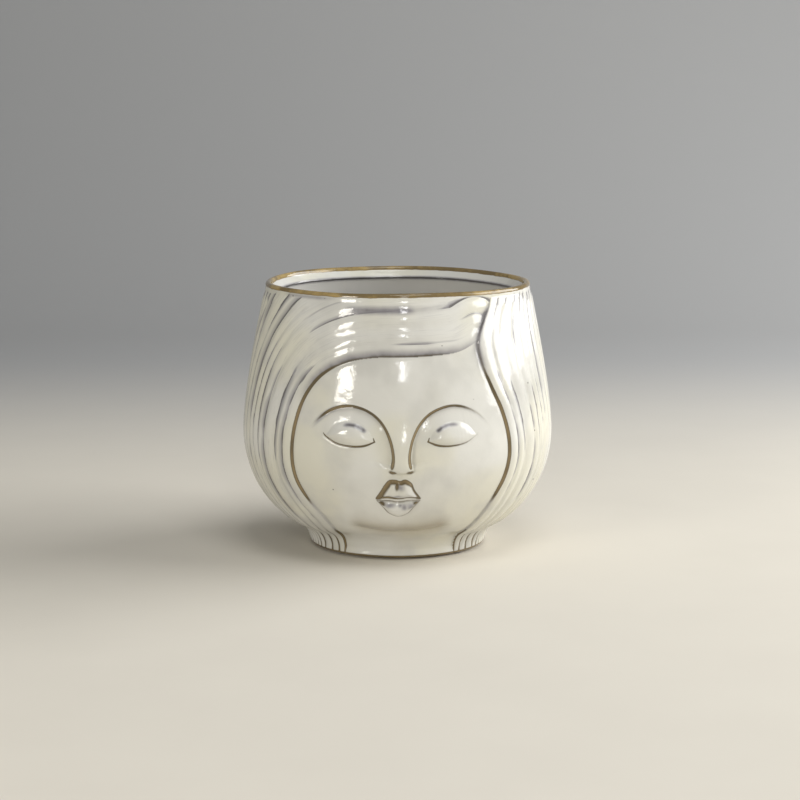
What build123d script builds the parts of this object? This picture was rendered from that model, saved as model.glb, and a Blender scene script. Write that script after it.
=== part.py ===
"""Head planter: a glazed stoneware pot with a face and swept hair, its drain plug and its felt feet.

Millimetres. +Z is up, the origin is the middle of the resting plane, and the face looks along -Y.
"""

from math import acos, asin, atan2, cos, degrees, radians, sin, sqrt
import os

from build123d import *

# Overall form of the pot, measured on the hair
HEIGHT = 137.0
BELLY_R = 80.0
BELLY_Z = 60.0
SHOULDER_PULL = 18.0
RIM_R = 68.2
LIP_THICK = 3.4
NECK_R = 48.0
FOOT_R = 45.5
FOOT_EDGE_R = 1.0
BOWL_CENTRE_R = 30.0
OUTLINE_STEPS = 5

# Walls
FACE_WALL = 5.0
FLOOR_THICK = 7.5
FOOT_RING_W = 8.0
FOOT_RECESS = 4.0
COLLAR_DEPTH = 4.2
COLLAR_STAND = 1.4

# Hair mass, the parting and the face window that the locks frame
HAIR_STEP = 1.5
FRINGE_H = 27.8
FRINGE_TURN_X = 26.0
FRINGE_TURN_DROP = 3.5
TEMPLE_X = 46.5
TEMPLE_DROP = 19.0
FACE_HALF_W = 53.5
FACE_WIDE_DROP = 3.0
JAW_X = 38.0
JAW_Z = 21.0
NECK_HALF_W = 26.5
PART_X = 38.0
PART_DROP = 22.3
PART_TOP_X = 44.0
PART_LINE_W = 1.4

# Strand grooves in the hair
STRAND_COUNT = 27
STRAND_FROM_DEG = 62.0
STRAND_W = 1.8
STRAND_DEPTH = 0.8
STRAND_BOTTOM_Z = 16.0
STRAND_TOP_GAP = 9.0
STRAND_LEVELS = 7
FRINGE_STRANDS = 3
FRINGE_STRAND_FROM_DEG = -38.0
FRINGE_STRAND_TO_DEG = 24.0

# Face: thirds between the hairline and the chin, lids and lips as almonds
CHIN_Z = 22.0
EYE_W = 24.0
EYE_H = 9.0
EYE_X = 25.0
EYE_PROUD = 2.2
BROW_RISE = 4.5
BROW_TAIL_W = 21.0
BROW_TAIL_DROP = 9.0
BROW_ROOT_DROP = 13.5
SOCKET_AIM_X = 20.0
SOCKET_DEPTH = 1.4
SOCKET_FADE = 7.0
NOSE_BRIDGE_W = 7.0
NOSE_BRIDGE_PROUD = 0.2
NOSE_RIDGE_W = 3.5
NOSE_TIP_W = 10.5
NOSE_PROUD = 2.6
MOUTH_W = 22.0
UPPER_ROLL_W = 15.0
UPPER_ROLL_H = 10.0
UPPER_ROLL_TILT_DEG = 20.0
LOWER_ROLL_W = 20.0
LOWER_ROLL_H = 10.5
LIP_OVERLAP = 1.2
LIP_PROUD = 2.8

# Drain hole and its plug
DRAIN_R = 8.0
PLUG_CLEARANCE = 0.2
PLUG_TAPER = 0.6
PLUG_BELOW = 1.5
PLUG_FLANGE_LAP = 4.0
PLUG_FLANGE_T = 2.0
PLUG_NECK_H = 3.4
PLUG_KNOB_R = 4.6
PLUG_KNOB_LIP = 1.4
PLUG_KNOB_H = 4.6
PLUG_EDGE = 0.6

# Felt feet
PAD_COUNT = 4
PAD_MARGIN = 1.0
PAD_T = 1.0
PAD_TURN_DEG = 45.0

# Levels and radii that follow from the sizes above
WALL = FACE_WALL + HAIR_STEP
LIP_R = LIP_THICK / 2
RIM_Z = HEIGHT - LIP_R
SHOULDER_BEND = RIM_Z - BELLY_Z - 2 * SHOULDER_PULL
COLLAR_Z = RIM_Z - COLLAR_DEPTH
FLOOR_UNDER_Z = PAD_T + FOOT_RECESS
FLOOR_TOP_Z = FLOOR_UNDER_Z + FLOOR_THICK
BOWL_HALF_W = BELLY_R - BOWL_CENTRE_R
BOWL_DROP = BELLY_Z - FLOOR_TOP_Z + WALL
RING_R = FOOT_R - FOOT_RING_W
REACH = BELLY_R + WALL

# Levels of the hair and of the face
HAIRLINE_Z = RIM_Z - FRINGE_H
PART_Z = RIM_Z - PART_DROP
TEMPLE_Z = HAIRLINE_Z - TEMPLE_DROP
FACE_WIDE_Z = BELLY_Z - FACE_WIDE_DROP
NECK_BOTTOM_Z = PAD_T + 2 * FOOT_EDGE_R
FACE_THIRD = (HAIRLINE_Z - CHIN_Z) / 3
BROW_Z = HAIRLINE_Z - FACE_THIRD
NOSE_BASE_Z = BROW_Z - FACE_THIRD
EYE_Z = BROW_Z - FACE_THIRD / 3
MOUTH_Z = NOSE_BASE_Z - FACE_THIRD / 2


def shoulder_share(z):
    """Share of the shoulder curve, from the belly to the rim, at which it reaches a height."""
    rise = z - BELLY_Z
    return rise / (SHOULDER_PULL + sqrt(SHOULDER_PULL**2 + SHOULDER_BEND * rise))


def outer_radius(z, inset=0.0):
    """Radius of the outer surface at a height above the neck, set in by a radial step."""
    if z < BELLY_Z:
        return BOWL_CENTRE_R + (BOWL_HALF_W - inset) * sqrt(1 - ((BELLY_Z - z) / BOWL_DROP) ** 2)
    return BELLY_R - inset - (BELLY_R - RIM_R) * shoulder_share(z) ** 2


def outline_levels():
    """Heights from the neck to the rim that the outline passes through, even along its bends."""
    neck_angle = acos((NECK_R - BOWL_CENTRE_R) / BOWL_HALF_W)
    shares = [k / OUTLINE_STEPS for k in range(OUTLINE_STEPS + 1)]
    bowl = [BELLY_Z - BOWL_DROP * sin(neck_angle * (1 - share)) for share in shares[:-1]]
    shoulder = [BELLY_Z + share * (2 * SHOULDER_PULL + share * SHOULDER_BEND) for share in shares]
    return bowl + shoulder


def outer_edges(inset=0.0):
    """Outline of the pot from its foot to its rim, as edges in the r-z plane, set in by a radial step."""
    edge_r = FOOT_R - inset - FOOT_EDGE_R
    foot_edge = CenterArc((edge_r, PAD_T + FOOT_EDGE_R), FOOT_EDGE_R, -90, 90)
    side = Spline(*[(outer_radius(z, inset), z) for z in outline_levels()])
    return [foot_edge, Line(foot_edge @ 1, side @ 0), side]


def turned(edges):
    """Solid of revolution about Z of a closed outline drawn in the r-z plane."""
    return revolve(Plane.XZ * make_face(edges), Axis.Z)


def face_prism(edges):
    """Prism of an outline drawn in the front view, from the pot's axis out past the face."""
    return extrude(Plane.XZ * make_face(edges), amount=REACH)


def outside():
    """The pot before it is hollowed: foot, bowl, shoulder, rounded lip and the sloping mouth."""
    lip_inner_r = RIM_R - LIP_THICK
    mouth_r = outer_radius(COLLAR_Z, WALL + COLLAR_STAND)
    lip = ThreePointArc((RIM_R, RIM_Z), (RIM_R - LIP_R, HEIGHT), (lip_inner_r, RIM_Z))
    closing = Polyline(
        (lip_inner_r, RIM_Z),
        (mouth_r, COLLAR_Z),
        (0, COLLAR_Z),
        (0, PAD_T),
        (FOOT_R - FOOT_EDGE_R, PAD_T),
    )
    return turned(outer_edges() + [lip, closing])


def hollow():
    """The space inside: the bowl under the collar, the drain hole and the recess under the floor."""
    inner_half_w = BOWL_HALF_W - WALL
    inner_drop = BELLY_Z - FLOOR_TOP_Z
    wall_r = BELLY_R - WALL
    pull_z = BELLY_Z + SHOULDER_PULL * shoulder_share(COLLAR_Z)
    wall = Bezier((wall_r, BELLY_Z), (wall_r, pull_z), (outer_radius(COLLAR_Z, WALL), COLLAR_Z))
    bowl = EllipticalCenterArc((BOWL_CENTRE_R, BELLY_Z), inner_half_w, inner_drop, -90, arc_size=90)
    closing = Polyline(
        bowl @ 0,
        (DRAIN_R, FLOOR_TOP_Z),
        (DRAIN_R, FLOOR_UNDER_Z),
        (RING_R, FLOOR_UNDER_Z),
        (RING_R, 0),
        (0, 0),
        (0, COLLAR_Z),
        wall @ 1,
    )
    return turned([wall, bowl, closing])


def face_skin():
    """Solid whose outside is the skin of the face, one hair step under the hair."""
    foot_r = FOOT_R - HAIR_STEP - FOOT_EDGE_R
    closing = Polyline((RIM_R - HAIR_STEP, RIM_Z), (0, RIM_Z), (0, PAD_T), (foot_r, PAD_T))
    return turned(outer_edges(HAIR_STEP) + [closing])


def face_window():
    """Outline of the face between the locks, from above the foot's edge to the parting, in the front view."""
    fringe = Spline(
        (-NECK_HALF_W, NECK_BOTTOM_Z),
        (-JAW_X, JAW_Z),
        (-FACE_HALF_W, FACE_WIDE_Z),
        (-TEMPLE_X, TEMPLE_Z),
        (-FRINGE_TURN_X, HAIRLINE_Z - FRINGE_TURN_DROP),
        (0, HAIRLINE_Z),
        (PART_X, PART_Z),
    )
    side_lock = Spline(
        (PART_X, PART_Z),
        (TEMPLE_X, TEMPLE_Z),
        (FACE_HALF_W, FACE_WIDE_Z),
        (JAW_X, JAW_Z),
        (NECK_HALF_W, NECK_BOTTOM_Z),
    )
    return [fringe, side_lock, Line(side_lock @ 1, fringe @ 0)]


def parting_line():
    """Slit of the parting, from the top of the face window to just under the lip."""
    half_w = PART_LINE_W / 2
    below_lip = RIM_Z - LIP_THICK
    return Polyline(
        (PART_X - half_w, PART_Z - half_w),
        (PART_X + half_w, PART_Z - half_w),
        (PART_TOP_X + half_w, below_lip),
        (PART_TOP_X - half_w, below_lip),
        close=True,
    )


def strand_blade():
    """Thin blade that cuts one strand groove down the hair, standing in the X-Z plane."""
    top_z = RIM_Z - STRAND_TOP_GAP
    pitch = (top_z - STRAND_BOTTOM_Z) / (STRAND_LEVELS - 1)
    levels = [STRAND_BOTTOM_Z + pitch * k for k in range(STRAND_LEVELS)]
    groove = Spline(*[(outer_radius(z, STRAND_DEPTH), z) for z in levels])
    back = Polyline(groove @ 1, (REACH, top_z), (REACH, STRAND_BOTTOM_Z), groove @ 0)
    return extrude(Plane.XZ * make_face([groove, back]), amount=STRAND_W / 2, both=True)


def strand_grooves():
    """Cutters for the strands that fall round the sides and the back."""
    span = 360 - 2 * STRAND_FROM_DEG
    blade = strand_blade()
    turns = [STRAND_FROM_DEG + span * k / (STRAND_COUNT - 1) for k in range(STRAND_COUNT)]
    return [Rot(0, 0, turn - 90) * blade for turn in turns]


def fringe_grooves():
    """Cutters for the strands that cross the forehead from the parting."""
    pitch = (RIM_Z - LIP_THICK - HAIRLINE_Z) / (FRINGE_STRANDS + 1)
    sweep_deg = FRINGE_STRAND_TO_DEG - FRINGE_STRAND_FROM_DEG
    cutters = []
    for k in range(FRINGE_STRANDS):
        z = HAIRLINE_Z + pitch * (k + 1)
        section = Pos(outer_radius(z), z) * Rectangle(2 * STRAND_DEPTH, STRAND_W)
        ring = revolve(Plane.XZ * section, Axis.Z, revolution_arc=sweep_deg)
        cutters.append(Rot(0, 0, FRINGE_STRAND_FROM_DEG - 90) * ring)
    return cutters


def front_plane(x, z, depth, lean_deg=0.0):
    """Plane on the face at x and z, set in by a depth, looking outwards and leaning back by an angle."""
    radius = outer_radius(z, HAIR_STEP)
    turn = asin(x / radius)
    lean = radians(lean_deg)
    out = Vector(sin(turn) * cos(lean), -cos(turn) * cos(lean), sin(lean))
    spot = Vector(sin(turn), -cos(turn), 0) * (radius - depth)
    across = Vector(cos(turn), sin(turn), 0)
    return Plane(spot + Vector(0, 0, z), x_dir=across, z_dir=out)


def eye_socket(side):
    """Cutter for one eye socket: a flat that is deep under the arched brow and runs out on the cheek."""
    top_z = BROW_Z + BROW_RISE
    bulge = outer_radius(NOSE_BASE_Z) - outer_radius(top_z)
    lean_deg = degrees(atan2(SOCKET_DEPTH + bulge, top_z - NOSE_BASE_Z))
    plane = front_plane(side * SOCKET_AIM_X, top_z, SOCKET_DEPTH, lean_deg)
    inner = side * (NOSE_BRIDGE_W / 2 - SOCKET_AIM_X)
    outer = side * BROW_TAIL_W
    bottom = NOSE_BASE_Z - SOCKET_FADE - top_z
    brow = ThreePointArc((inner, -BROW_ROOT_DROP), (0, 0), (outer, -BROW_TAIL_DROP))
    below = Polyline(brow @ 1, (outer, bottom), (inner, bottom), brow @ 0)
    return extrude(plane * make_face([brow, below]), amount=REACH - outer_radius(top_z))


def almond(width, height):
    """Almond: a bow turned about its chord along X, with the seam at the back, inside the wall."""
    bow = Spline((-width / 2, 0), (0, height / 2), (width / 2, 0))
    return Rot(-90, 0, 0) * revolve(make_face([bow, Line(bow @ 0, bow @ 1)]), Axis.X)


def eyelid(side):
    """One lowered lid, an almond that stands out of its socket."""
    depth = SOCKET_DEPTH + EYE_H / 2 - EYE_PROUD
    return front_plane(side * EYE_X, EYE_Z, depth) * almond(EYE_W, EYE_H)


def nose_section(z, width, proud):
    """Level cut through the nose: its back in the wall of the face, its ridge standing proud."""
    half_w = width / 2
    ridge = NOSE_RIDGE_W / 2
    level = Plane((0, -outer_radius(z, HAIR_STEP), z), x_dir=(1, 0, 0), z_dir=(0, 0, 1))
    back = [(-half_w, FACE_WALL), (half_w, FACE_WALL)]
    front = [(ridge, -proud), (-ridge, -proud)]
    return level * make_face(Polyline(*back, *front, close=True))


def nose():
    """Wedge of the nose, from its flat underside up to the brow."""
    tip = nose_section(NOSE_BASE_Z, NOSE_TIP_W, NOSE_PROUD)
    bridge = nose_section(BROW_Z, NOSE_BRIDGE_W, NOSE_BRIDGE_PROUD)
    return loft([tip, bridge], ruled=True)


def lip_roll(x, z, width, height, tilt_deg=0.0):
    """One roll of the lips, an almond on the face."""
    plane = front_plane(x, z, height / 2 - LIP_PROUD)
    return plane * (Rot(0, 0, tilt_deg) * almond(width, height))


def lips():
    """Upper lip as two rolls that meet under the nose, lower lip as one."""
    upper_x = (MOUTH_W - UPPER_ROLL_W) / 2
    upper_z = MOUTH_Z + UPPER_ROLL_H / 2 - LIP_OVERLAP
    lower_z = MOUTH_Z - LOWER_ROLL_H / 2 + LIP_OVERLAP
    rolls = [
        lip_roll(side * upper_x, upper_z, UPPER_ROLL_W, UPPER_ROLL_H, -side * UPPER_ROLL_TILT_DEG)
        for side in (-1, 1)
    ]
    return rolls + [lip_roll(0, lower_z, LOWER_ROLL_W, LOWER_ROLL_H)]


def pot():
    """The fired pot: its relief is cut and laid on while it is solid, and then it is hollowed."""
    skin = face_skin()
    window = face_prism(face_window()) - skin
    slit = face_prism([parting_line()]) - skin
    body = outside() - window - slit - [eye_socket(side) for side in (-1, 1)]
    body = body + [eyelid(side) for side in (-1, 1)] + nose() + lips()
    return body - strand_grooves() - fringe_grooves() - hollow()


def drain_plug():
    """Soft stopper: tapered stem in the drain hole, flange on the floor and a knob to pull it by."""
    stem_top_r = DRAIN_R - PLUG_CLEARANCE
    stem_end_r = stem_top_r - PLUG_TAPER
    stem_end_z = FLOOR_UNDER_Z - PLUG_BELOW
    flange_r = DRAIN_R + PLUG_FLANGE_LAP
    flange_top_z = FLOOR_TOP_Z + PLUG_FLANGE_T
    neck_r = PLUG_KNOB_R - PLUG_KNOB_LIP
    neck_top_z = flange_top_z + PLUG_NECK_H
    knob_wide_z = neck_top_z + PLUG_KNOB_LIP
    knob_top_z = neck_top_z + PLUG_KNOB_H
    section = Polyline(
        (0, knob_top_z),
        (0, stem_end_z),
        (stem_end_r - PLUG_EDGE, stem_end_z),
        (stem_end_r, stem_end_z + PLUG_EDGE),
        (stem_top_r, FLOOR_TOP_Z),
        (flange_r, FLOOR_TOP_Z),
        (flange_r, flange_top_z - PLUG_EDGE),
        (flange_r - PLUG_EDGE, flange_top_z),
        (neck_r, flange_top_z),
        (neck_r, neck_top_z),
        (PLUG_KNOB_R, knob_wide_z),
        (PLUG_KNOB_R, knob_top_z - PLUG_EDGE),
        (PLUG_KNOB_R - PLUG_EDGE, knob_top_z),
        close=True,
    )
    return turned([section])


def felt_foot(index):
    """One felt disc under the foot ring."""
    turn = PAD_TURN_DEG + 360 * index / PAD_COUNT
    radius = FOOT_RING_W / 2 - PAD_MARGIN
    disc = Cylinder(radius, PAD_T, align=(Align.CENTER, Align.CENTER, Align.MIN))
    return Rot(0, 0, turn) * (Pos(FOOT_R - FOOT_RING_W / 2, 0, 0) * disc)


def main():
    """Builds every piece and writes one STEP file for each."""
    os.makedirs("parts", exist_ok=True)
    pieces = {"pot": pot(), "drain_plug": drain_plug()}
    for index in range(PAD_COUNT):
        pieces[f"felt_foot_{index + 1}"] = felt_foot(index)
    for name, piece in pieces.items():
        export_step(piece, f"parts/{name}.step")
        print(name, len(piece.solids()), round(piece.volume, 1), piece.bounding_box())


main()
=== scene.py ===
"""Looks of the head planter: a glazed stoneware pot with a relief face, its drain plug and its felt feet.

Sizes are millimetres in the frame of the solids: +Z is up and the face looks along -Y.
"""

import logging
import math
from dataclasses import dataclass, field
from enum import Enum
from typing import Iterable, Optional, Sequence, Union

import bpy
import numpy as np
from mathutils import Euler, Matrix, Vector

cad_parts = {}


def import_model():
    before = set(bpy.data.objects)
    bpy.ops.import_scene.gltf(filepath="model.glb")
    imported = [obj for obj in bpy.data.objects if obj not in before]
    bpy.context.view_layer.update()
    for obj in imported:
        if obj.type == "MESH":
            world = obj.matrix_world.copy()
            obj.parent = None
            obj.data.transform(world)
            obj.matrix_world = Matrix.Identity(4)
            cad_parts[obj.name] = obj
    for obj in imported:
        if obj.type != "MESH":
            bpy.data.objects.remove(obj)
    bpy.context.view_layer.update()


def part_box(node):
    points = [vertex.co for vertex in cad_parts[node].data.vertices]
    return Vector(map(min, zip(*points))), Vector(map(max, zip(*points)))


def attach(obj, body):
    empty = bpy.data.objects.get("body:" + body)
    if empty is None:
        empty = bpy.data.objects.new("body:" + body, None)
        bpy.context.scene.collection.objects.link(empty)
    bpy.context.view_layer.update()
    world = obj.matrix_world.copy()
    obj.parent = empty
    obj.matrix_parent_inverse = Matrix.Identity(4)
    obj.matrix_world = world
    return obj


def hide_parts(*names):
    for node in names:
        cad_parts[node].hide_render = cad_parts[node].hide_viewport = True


LOG = logging.getLogger("head_planter")
MM = 0.001
ROUNDING_POINTS = 9
LEAST_STEP = 1e-4

Array = np.ndarray
Point = tuple[float, float]
Points = Sequence[Point]
Span = tuple[float, float]
Window = tuple[float, float, float, float]
Triple = tuple[float, float, float]
Colour = tuple[float, float, float, float]
Faces = list[list[int]]
Thing = bpy.types.Object
Feed = Union[float, str, tuple, "Wire"]


class Body(Enum):
    """Bodies of the frame that the pieces ride on."""

    PLANTER = "planter"
    PLUG = "plug"


class Slot(Enum):
    """Names of the material slots."""

    GLAZE = "glazed_stoneware"
    SILICONE = "silicone_rubber"
    FELT = "felt"


# Lines and ramps on the developed surface


def ramp(value: Array, start: float, end: float) -> Array:
    """Smooth rise from 0 at start to 1 at end, which may lie below it."""
    share = np.clip((value - start) / (end - start), 0.0, 1.0)
    return share * share * (3.0 - 2.0 * share)


def window(value: Array, start: float, full: float, fade: float, end: float) -> Array:
    """Smooth rise from start to full, and fall from fade to end."""
    return ramp(value, start, full) * ramp(value, end, fade)


def bell(gap: Array, width: float) -> Array:
    """Bell curve: 1 at no gap and 1/e at the width."""
    return np.exp(-((gap / width) ** 2))


def domed(depth: Array, width: float) -> Array:
    """Rise from 0 at an outline to 1 at a width inside it, round like a cushion."""
    return 1.0 - (1.0 - np.clip(depth / width, 0.0, 1.0)) ** 2


@dataclass(frozen=True)
class Swell:
    """Bell-shaped swelling over a line: its strength, its width and where its middle lies."""

    strength: float
    width: float
    middle: float = 0.0

    def over(self, gap: Array) -> Array:
        """Height of the swelling at gaps from the line."""
        return self.strength * bell(gap - self.middle, self.width)


def smooth_line(points: Points, step: float = 1.2) -> Array:
    """Draws a smooth line through points.

    Args:
        points: Points that the line passes through.
        step: Length of its pieces.

    Returns:
        Spots along the line, one a row.
    """
    knots = np.array(points, dtype=float)
    gaps = np.linalg.norm(np.diff(knots, axis=0), axis=1)
    reached = np.concatenate([[0.0], np.cumsum(gaps)])
    slopes = np.gradient(knots, reached, axis=0)
    spots = np.linspace(0.0, reached[-1], max(3, round(reached[-1] / step) + 1))
    k = np.clip(np.searchsorted(reached, spots, side="right") - 1, 0, len(gaps) - 1)
    u = ((spots - reached[k]) / gaps[k])[:, None]
    from_knots = (2 * u**3 - 3 * u**2 + 1) * knots[k] + (3 * u**2 - 2 * u**3) * knots[k + 1]
    from_slopes = (u**3 - 2 * u**2 + u) * slopes[k] + (u**3 - u**2) * slopes[k + 1]
    return from_knots + gaps[k][:, None] * from_slopes


def nearest(line: Array, across: Array, up: Array, reach: float = math.inf) -> tuple[Array, Array]:
    """Measures spots against a line.

    Args:
        line: Spots of the line, one a row.
        across: First coordinate of the spots to measure.
        up: Their second coordinate.
        reach: Gap past which a spot only gets this value.

    Returns:
        Gap to the line, positive on the left of its run, and the share of the run where it is nearest.
    """
    low = line.min(axis=0) - reach
    high = line.max(axis=0) + reach
    near = (across > low[0]) & (across < high[0]) & (up > low[1]) & (up < high[1])
    x = across[near]
    y = up[near]
    best = np.full(x.shape, np.inf)
    side = np.ones_like(x)
    run = np.zeros_like(x)
    done = 0.0
    for start, end in zip(line[:-1], line[1:]):
        dx, dy = end - start
        length = math.hypot(dx, dy)
        ox = x - start[0]
        oy = y - start[1]
        along = np.clip((ox * dx + oy * dy) / length**2, 0.0, 1.0)
        gap = (ox - along * dx) ** 2 + (oy - along * dy) ** 2
        closer = gap < best
        best[closer] = gap[closer]
        side[closer] = np.where(dx * oy - dy * ox < 0.0, -1.0, 1.0)[closer]
        run[closer] = done + along[closer] * length
        done += length
    gaps = np.full(across.shape, reach if math.isfinite(reach) else 0.0)
    shares = np.zeros(across.shape)
    gaps[near] = np.clip(side * np.sqrt(best), -reach, reach)
    shares[near] = run / done
    return gaps, shares


def depth_inside(outline: Array, across: Array, up: Array, reach: float) -> Array:
    """Measures how deep spots lie inside a closed outline.

    Args:
        outline: Spots of the closed outline, one a row.
        across: First coordinate of the spots to measure.
        up: Their second coordinate.
        reach: Largest depth that is told apart.

    Returns:
        Depth below the outline, negative outside it.
    """
    closed = np.vstack([outline, outline[:1]])
    gaps, _ = nearest(closed, across, up, reach)
    inside = np.zeros(across.shape, dtype=bool)
    for (x0, y0), (x1, y1) in zip(closed[:-1], closed[1:]):
        if y0 != y1:
            crosses = (y0 > up) != (y1 > up)
            inside ^= crosses & (across < x0 + (up - y0) * (x1 - x0) / (y1 - y0))
    return np.where(inside, np.abs(gaps), -np.abs(gaps))


def rounded(loop: Sequence[Triple], closed: bool = True) -> Array:
    """Rounds the marked corners of an outline.

    Args:
        loop: Points as radius, height and how much of each side a rounding takes.
        closed: Whether the last point joins the first.

    Returns:
        Points of the outline as rows of radius and height.
    """
    traced: list[Array] = []
    points = np.array(loop, dtype=float)
    last = len(points) - 1
    for index, (_, _, cut) in enumerate(points):
        here = points[index, :2]
        if cut == 0.0 or (not closed and index in (0, last)):
            traced.append(here)
            continue
        before = points[index - 1, :2] - here
        after = points[(index + 1) % len(points), :2] - here
        start = here + before * min(1.0, cut / np.linalg.norm(before))
        end = here + after * min(1.0, cut / np.linalg.norm(after))
        for u in np.linspace(0.0, 1.0, ROUNDING_POINTS):
            traced.append((1 - u) ** 2 * start + 2 * u * (1 - u) * here + u**2 * end)
    line = np.array(traced)
    steps = np.linalg.norm(np.diff(line, axis=0), axis=1)
    return line[np.concatenate([[True], steps > LEAST_STEP])]


def unrounded(r: Array, z: Array) -> list[Triple]:
    """Points of an outline that take no rounding."""
    return [(a, b, 0.0) for a, b in zip(r, z)]


def arc(centre: Point, radius: float, start_deg: float, end_deg: float, count: int) -> list[Triple]:
    """Points of an outline along an arc about a centre."""
    turn = np.radians(np.linspace(start_deg, end_deg, count))
    return unrounded(centre[0] + radius * np.cos(turn), centre[1] + radius * np.sin(turn))


# Form of the pot


@dataclass
class PotOutline:
    """Closed outline of the turned pot: up the outside, over the lip, down the inside and under the foot."""

    height: float = 137.0
    belly_r: float = 80.0
    belly_z: float = 60.0
    shoulder_pull: float = 18.0
    rim_r: float = 68.2
    lip_r: float = 1.7
    neck_r: float = 48.0
    neck_round: float = 4.5
    foot_r: float = 45.5
    foot_z: float = 1.0
    foot_edge: float = 1.0
    ring_r: float = 37.5
    ring_round: float = 1.2
    bowl_centre_r: float = 30.0
    bowl_drop: float = 54.0
    wall: float = 6.5
    floor_top: float = 12.5
    floor_under: float = 5.0
    collar_depth: float = 4.2
    collar_stand: float = 1.4
    drain_r: float = 8.0
    glazed_edge: float = 0.8
    foot_points: int = 9
    lip_points: int = 25
    outer_points: int = 90
    inner_points: int = 60
    outer_step: float = 2.4
    collar_step: float = 0.9
    collar_run: float = 3.0
    inner_step: float = 5.0
    most_turn: float = 0.4

    def __post_init__(self) -> None:
        """Traces the loop once, with its lengths, its outward directions and how close its rows stand."""
        loop = rounded(self.corners())
        self.closed = np.vstack([loop, loop[:1]])
        runs = np.diff(self.closed, axis=0)
        lengths = np.linalg.norm(runs, axis=1)
        self.reached = np.concatenate([[0.0], np.cumsum(lengths)])
        ways = runs / lengths[:, None]
        before = np.roll(ways, 1, axis=0)
        tangents = ways + before
        tangents /= np.linalg.norm(tangents, axis=1)[:, None]
        normals = np.column_stack([tangents[:, 1], -tangents[:, 0]])
        self.normals = np.vstack([normals, normals[:1]])
        sine = before[:, 0] * ways[:, 1] - before[:, 1] * ways[:, 0]
        turns = np.abs(np.arctan2(sine, (before * ways).sum(axis=1)))
        bends = (turns + np.roll(turns, -1)) / 2 / lengths
        at = self.reached[:-1]
        z = loop[:, 1]
        self.rim_at = at[int(np.argmax(z >= self.rim_z))]
        on_wall = (at > self.rim_at) & (z < self.collar_z - self.collar_run)
        inner = np.where(at < at[int(np.argmax(on_wall))], self.collar_step, self.inner_step)
        steps = np.where(at < self.rim_at, self.outer_step, inner)
        self.crowding = np.maximum(1.0 / steps, bends / self.most_turn) * lengths

    @property
    def rim_z(self) -> float:
        """Height of the middle of the lip's roll."""
        return self.height - self.lip_r

    @property
    def collar_z(self) -> float:
        """Height of the lower edge of the collar inside the mouth."""
        return self.rim_z - self.collar_depth

    @property
    def shoulder_bend(self) -> float:
        """Second coefficient of the shoulder's curve."""
        return self.rim_z - self.belly_z - 2 * self.shoulder_pull

    def shoulder(self, shares: Array, inset: float = 0.0) -> list[Triple]:
        """Points of the shoulder's curve at shares from the belly to the rim, set in by a step."""
        z = self.belly_z + shares * (2 * self.shoulder_pull + shares * self.shoulder_bend)
        return unrounded(self.belly_r - inset - (self.belly_r - self.rim_r) * shares**2, z)

    def bowl(self, angles: Array, inset: float, drop: float) -> list[Triple]:
        """Points of the bowl at angles below its widest level, set in by a step."""
        half_w = self.belly_r - self.bowl_centre_r - inset
        return unrounded(self.bowl_centre_r + half_w * np.cos(angles), self.belly_z - drop * np.sin(angles))

    def corners(self) -> list[Triple]:
        """Points of the loop as radius, height and rounding, from the foot's edge upwards."""
        half_w = self.belly_r - self.bowl_centre_r
        neck_angle = math.acos((self.neck_r - self.bowl_centre_r) / half_w)
        neck_z = self.belly_z - self.bowl_drop * math.sin(neck_angle)
        above_neck = math.asin((self.belly_z - neck_z - self.neck_round) / self.bowl_drop)
        foot = (self.foot_r - self.foot_edge, self.foot_z + self.foot_edge)
        lip = (self.rim_r - self.lip_r, self.rim_z)
        rise = self.collar_z - self.belly_z
        pull = self.shoulder_pull
        top_share = rise / (pull + math.sqrt(pull**2 + self.shoulder_bend * rise))
        inner_wall = self.shoulder(np.linspace(top_share, 0.0, self.inner_points), self.wall)
        collar_r = inner_wall[0][0]
        floor_drop = self.belly_z - self.floor_top
        edge = self.glazed_edge
        return [
            *arc(foot, self.foot_edge, -90.0, 0.0, self.foot_points),
            (self.neck_r, neck_z, self.neck_round),
            *self.bowl(np.linspace(above_neck, 0.0, self.outer_points), 0.0, self.bowl_drop),
            *self.shoulder(np.linspace(0.0, 1.0, self.outer_points))[1:],
            *arc(lip, self.lip_r, 0.0, 180.0, self.lip_points)[1:],
            (collar_r - self.collar_stand, self.collar_z, edge),
            (collar_r, self.collar_z, edge / 2),
            *inner_wall[1:],
            *self.bowl(np.linspace(0.0, math.pi / 2, self.inner_points), self.wall, floor_drop)[1:],
            (self.drain_r, self.floor_top, edge),
            (self.drain_r, self.floor_under, edge),
            (self.ring_r, self.floor_under, self.ring_round),
            (self.ring_r, self.foot_z, edge),
        ]

    def rows(self) -> Array:
        """Places of the mesh's rows along the loop, closer together where it bends."""
        crowd = np.concatenate([[0.0], np.cumsum(self.crowding)])
        return np.interp(np.linspace(0.0, crowd[-1], math.ceil(crowd[-1]) + 1), crowd, self.reached)

    def at(self, place: Array) -> list[Array]:
        """Radius, height and outward direction (radial, upward) at places along the loop."""
        return [np.interp(place, self.reached, row) for row in (*self.closed.T, *self.normals.T)]

    def place_of(self, z: Array) -> Array:
        """Places on the outside at heights from the foot to the rim."""
        outer = self.reached[:-1] <= self.rim_at
        return np.interp(z, self.closed[:-1][outer, 1], self.reached[:-1][outer])


# Features of the face


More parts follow.
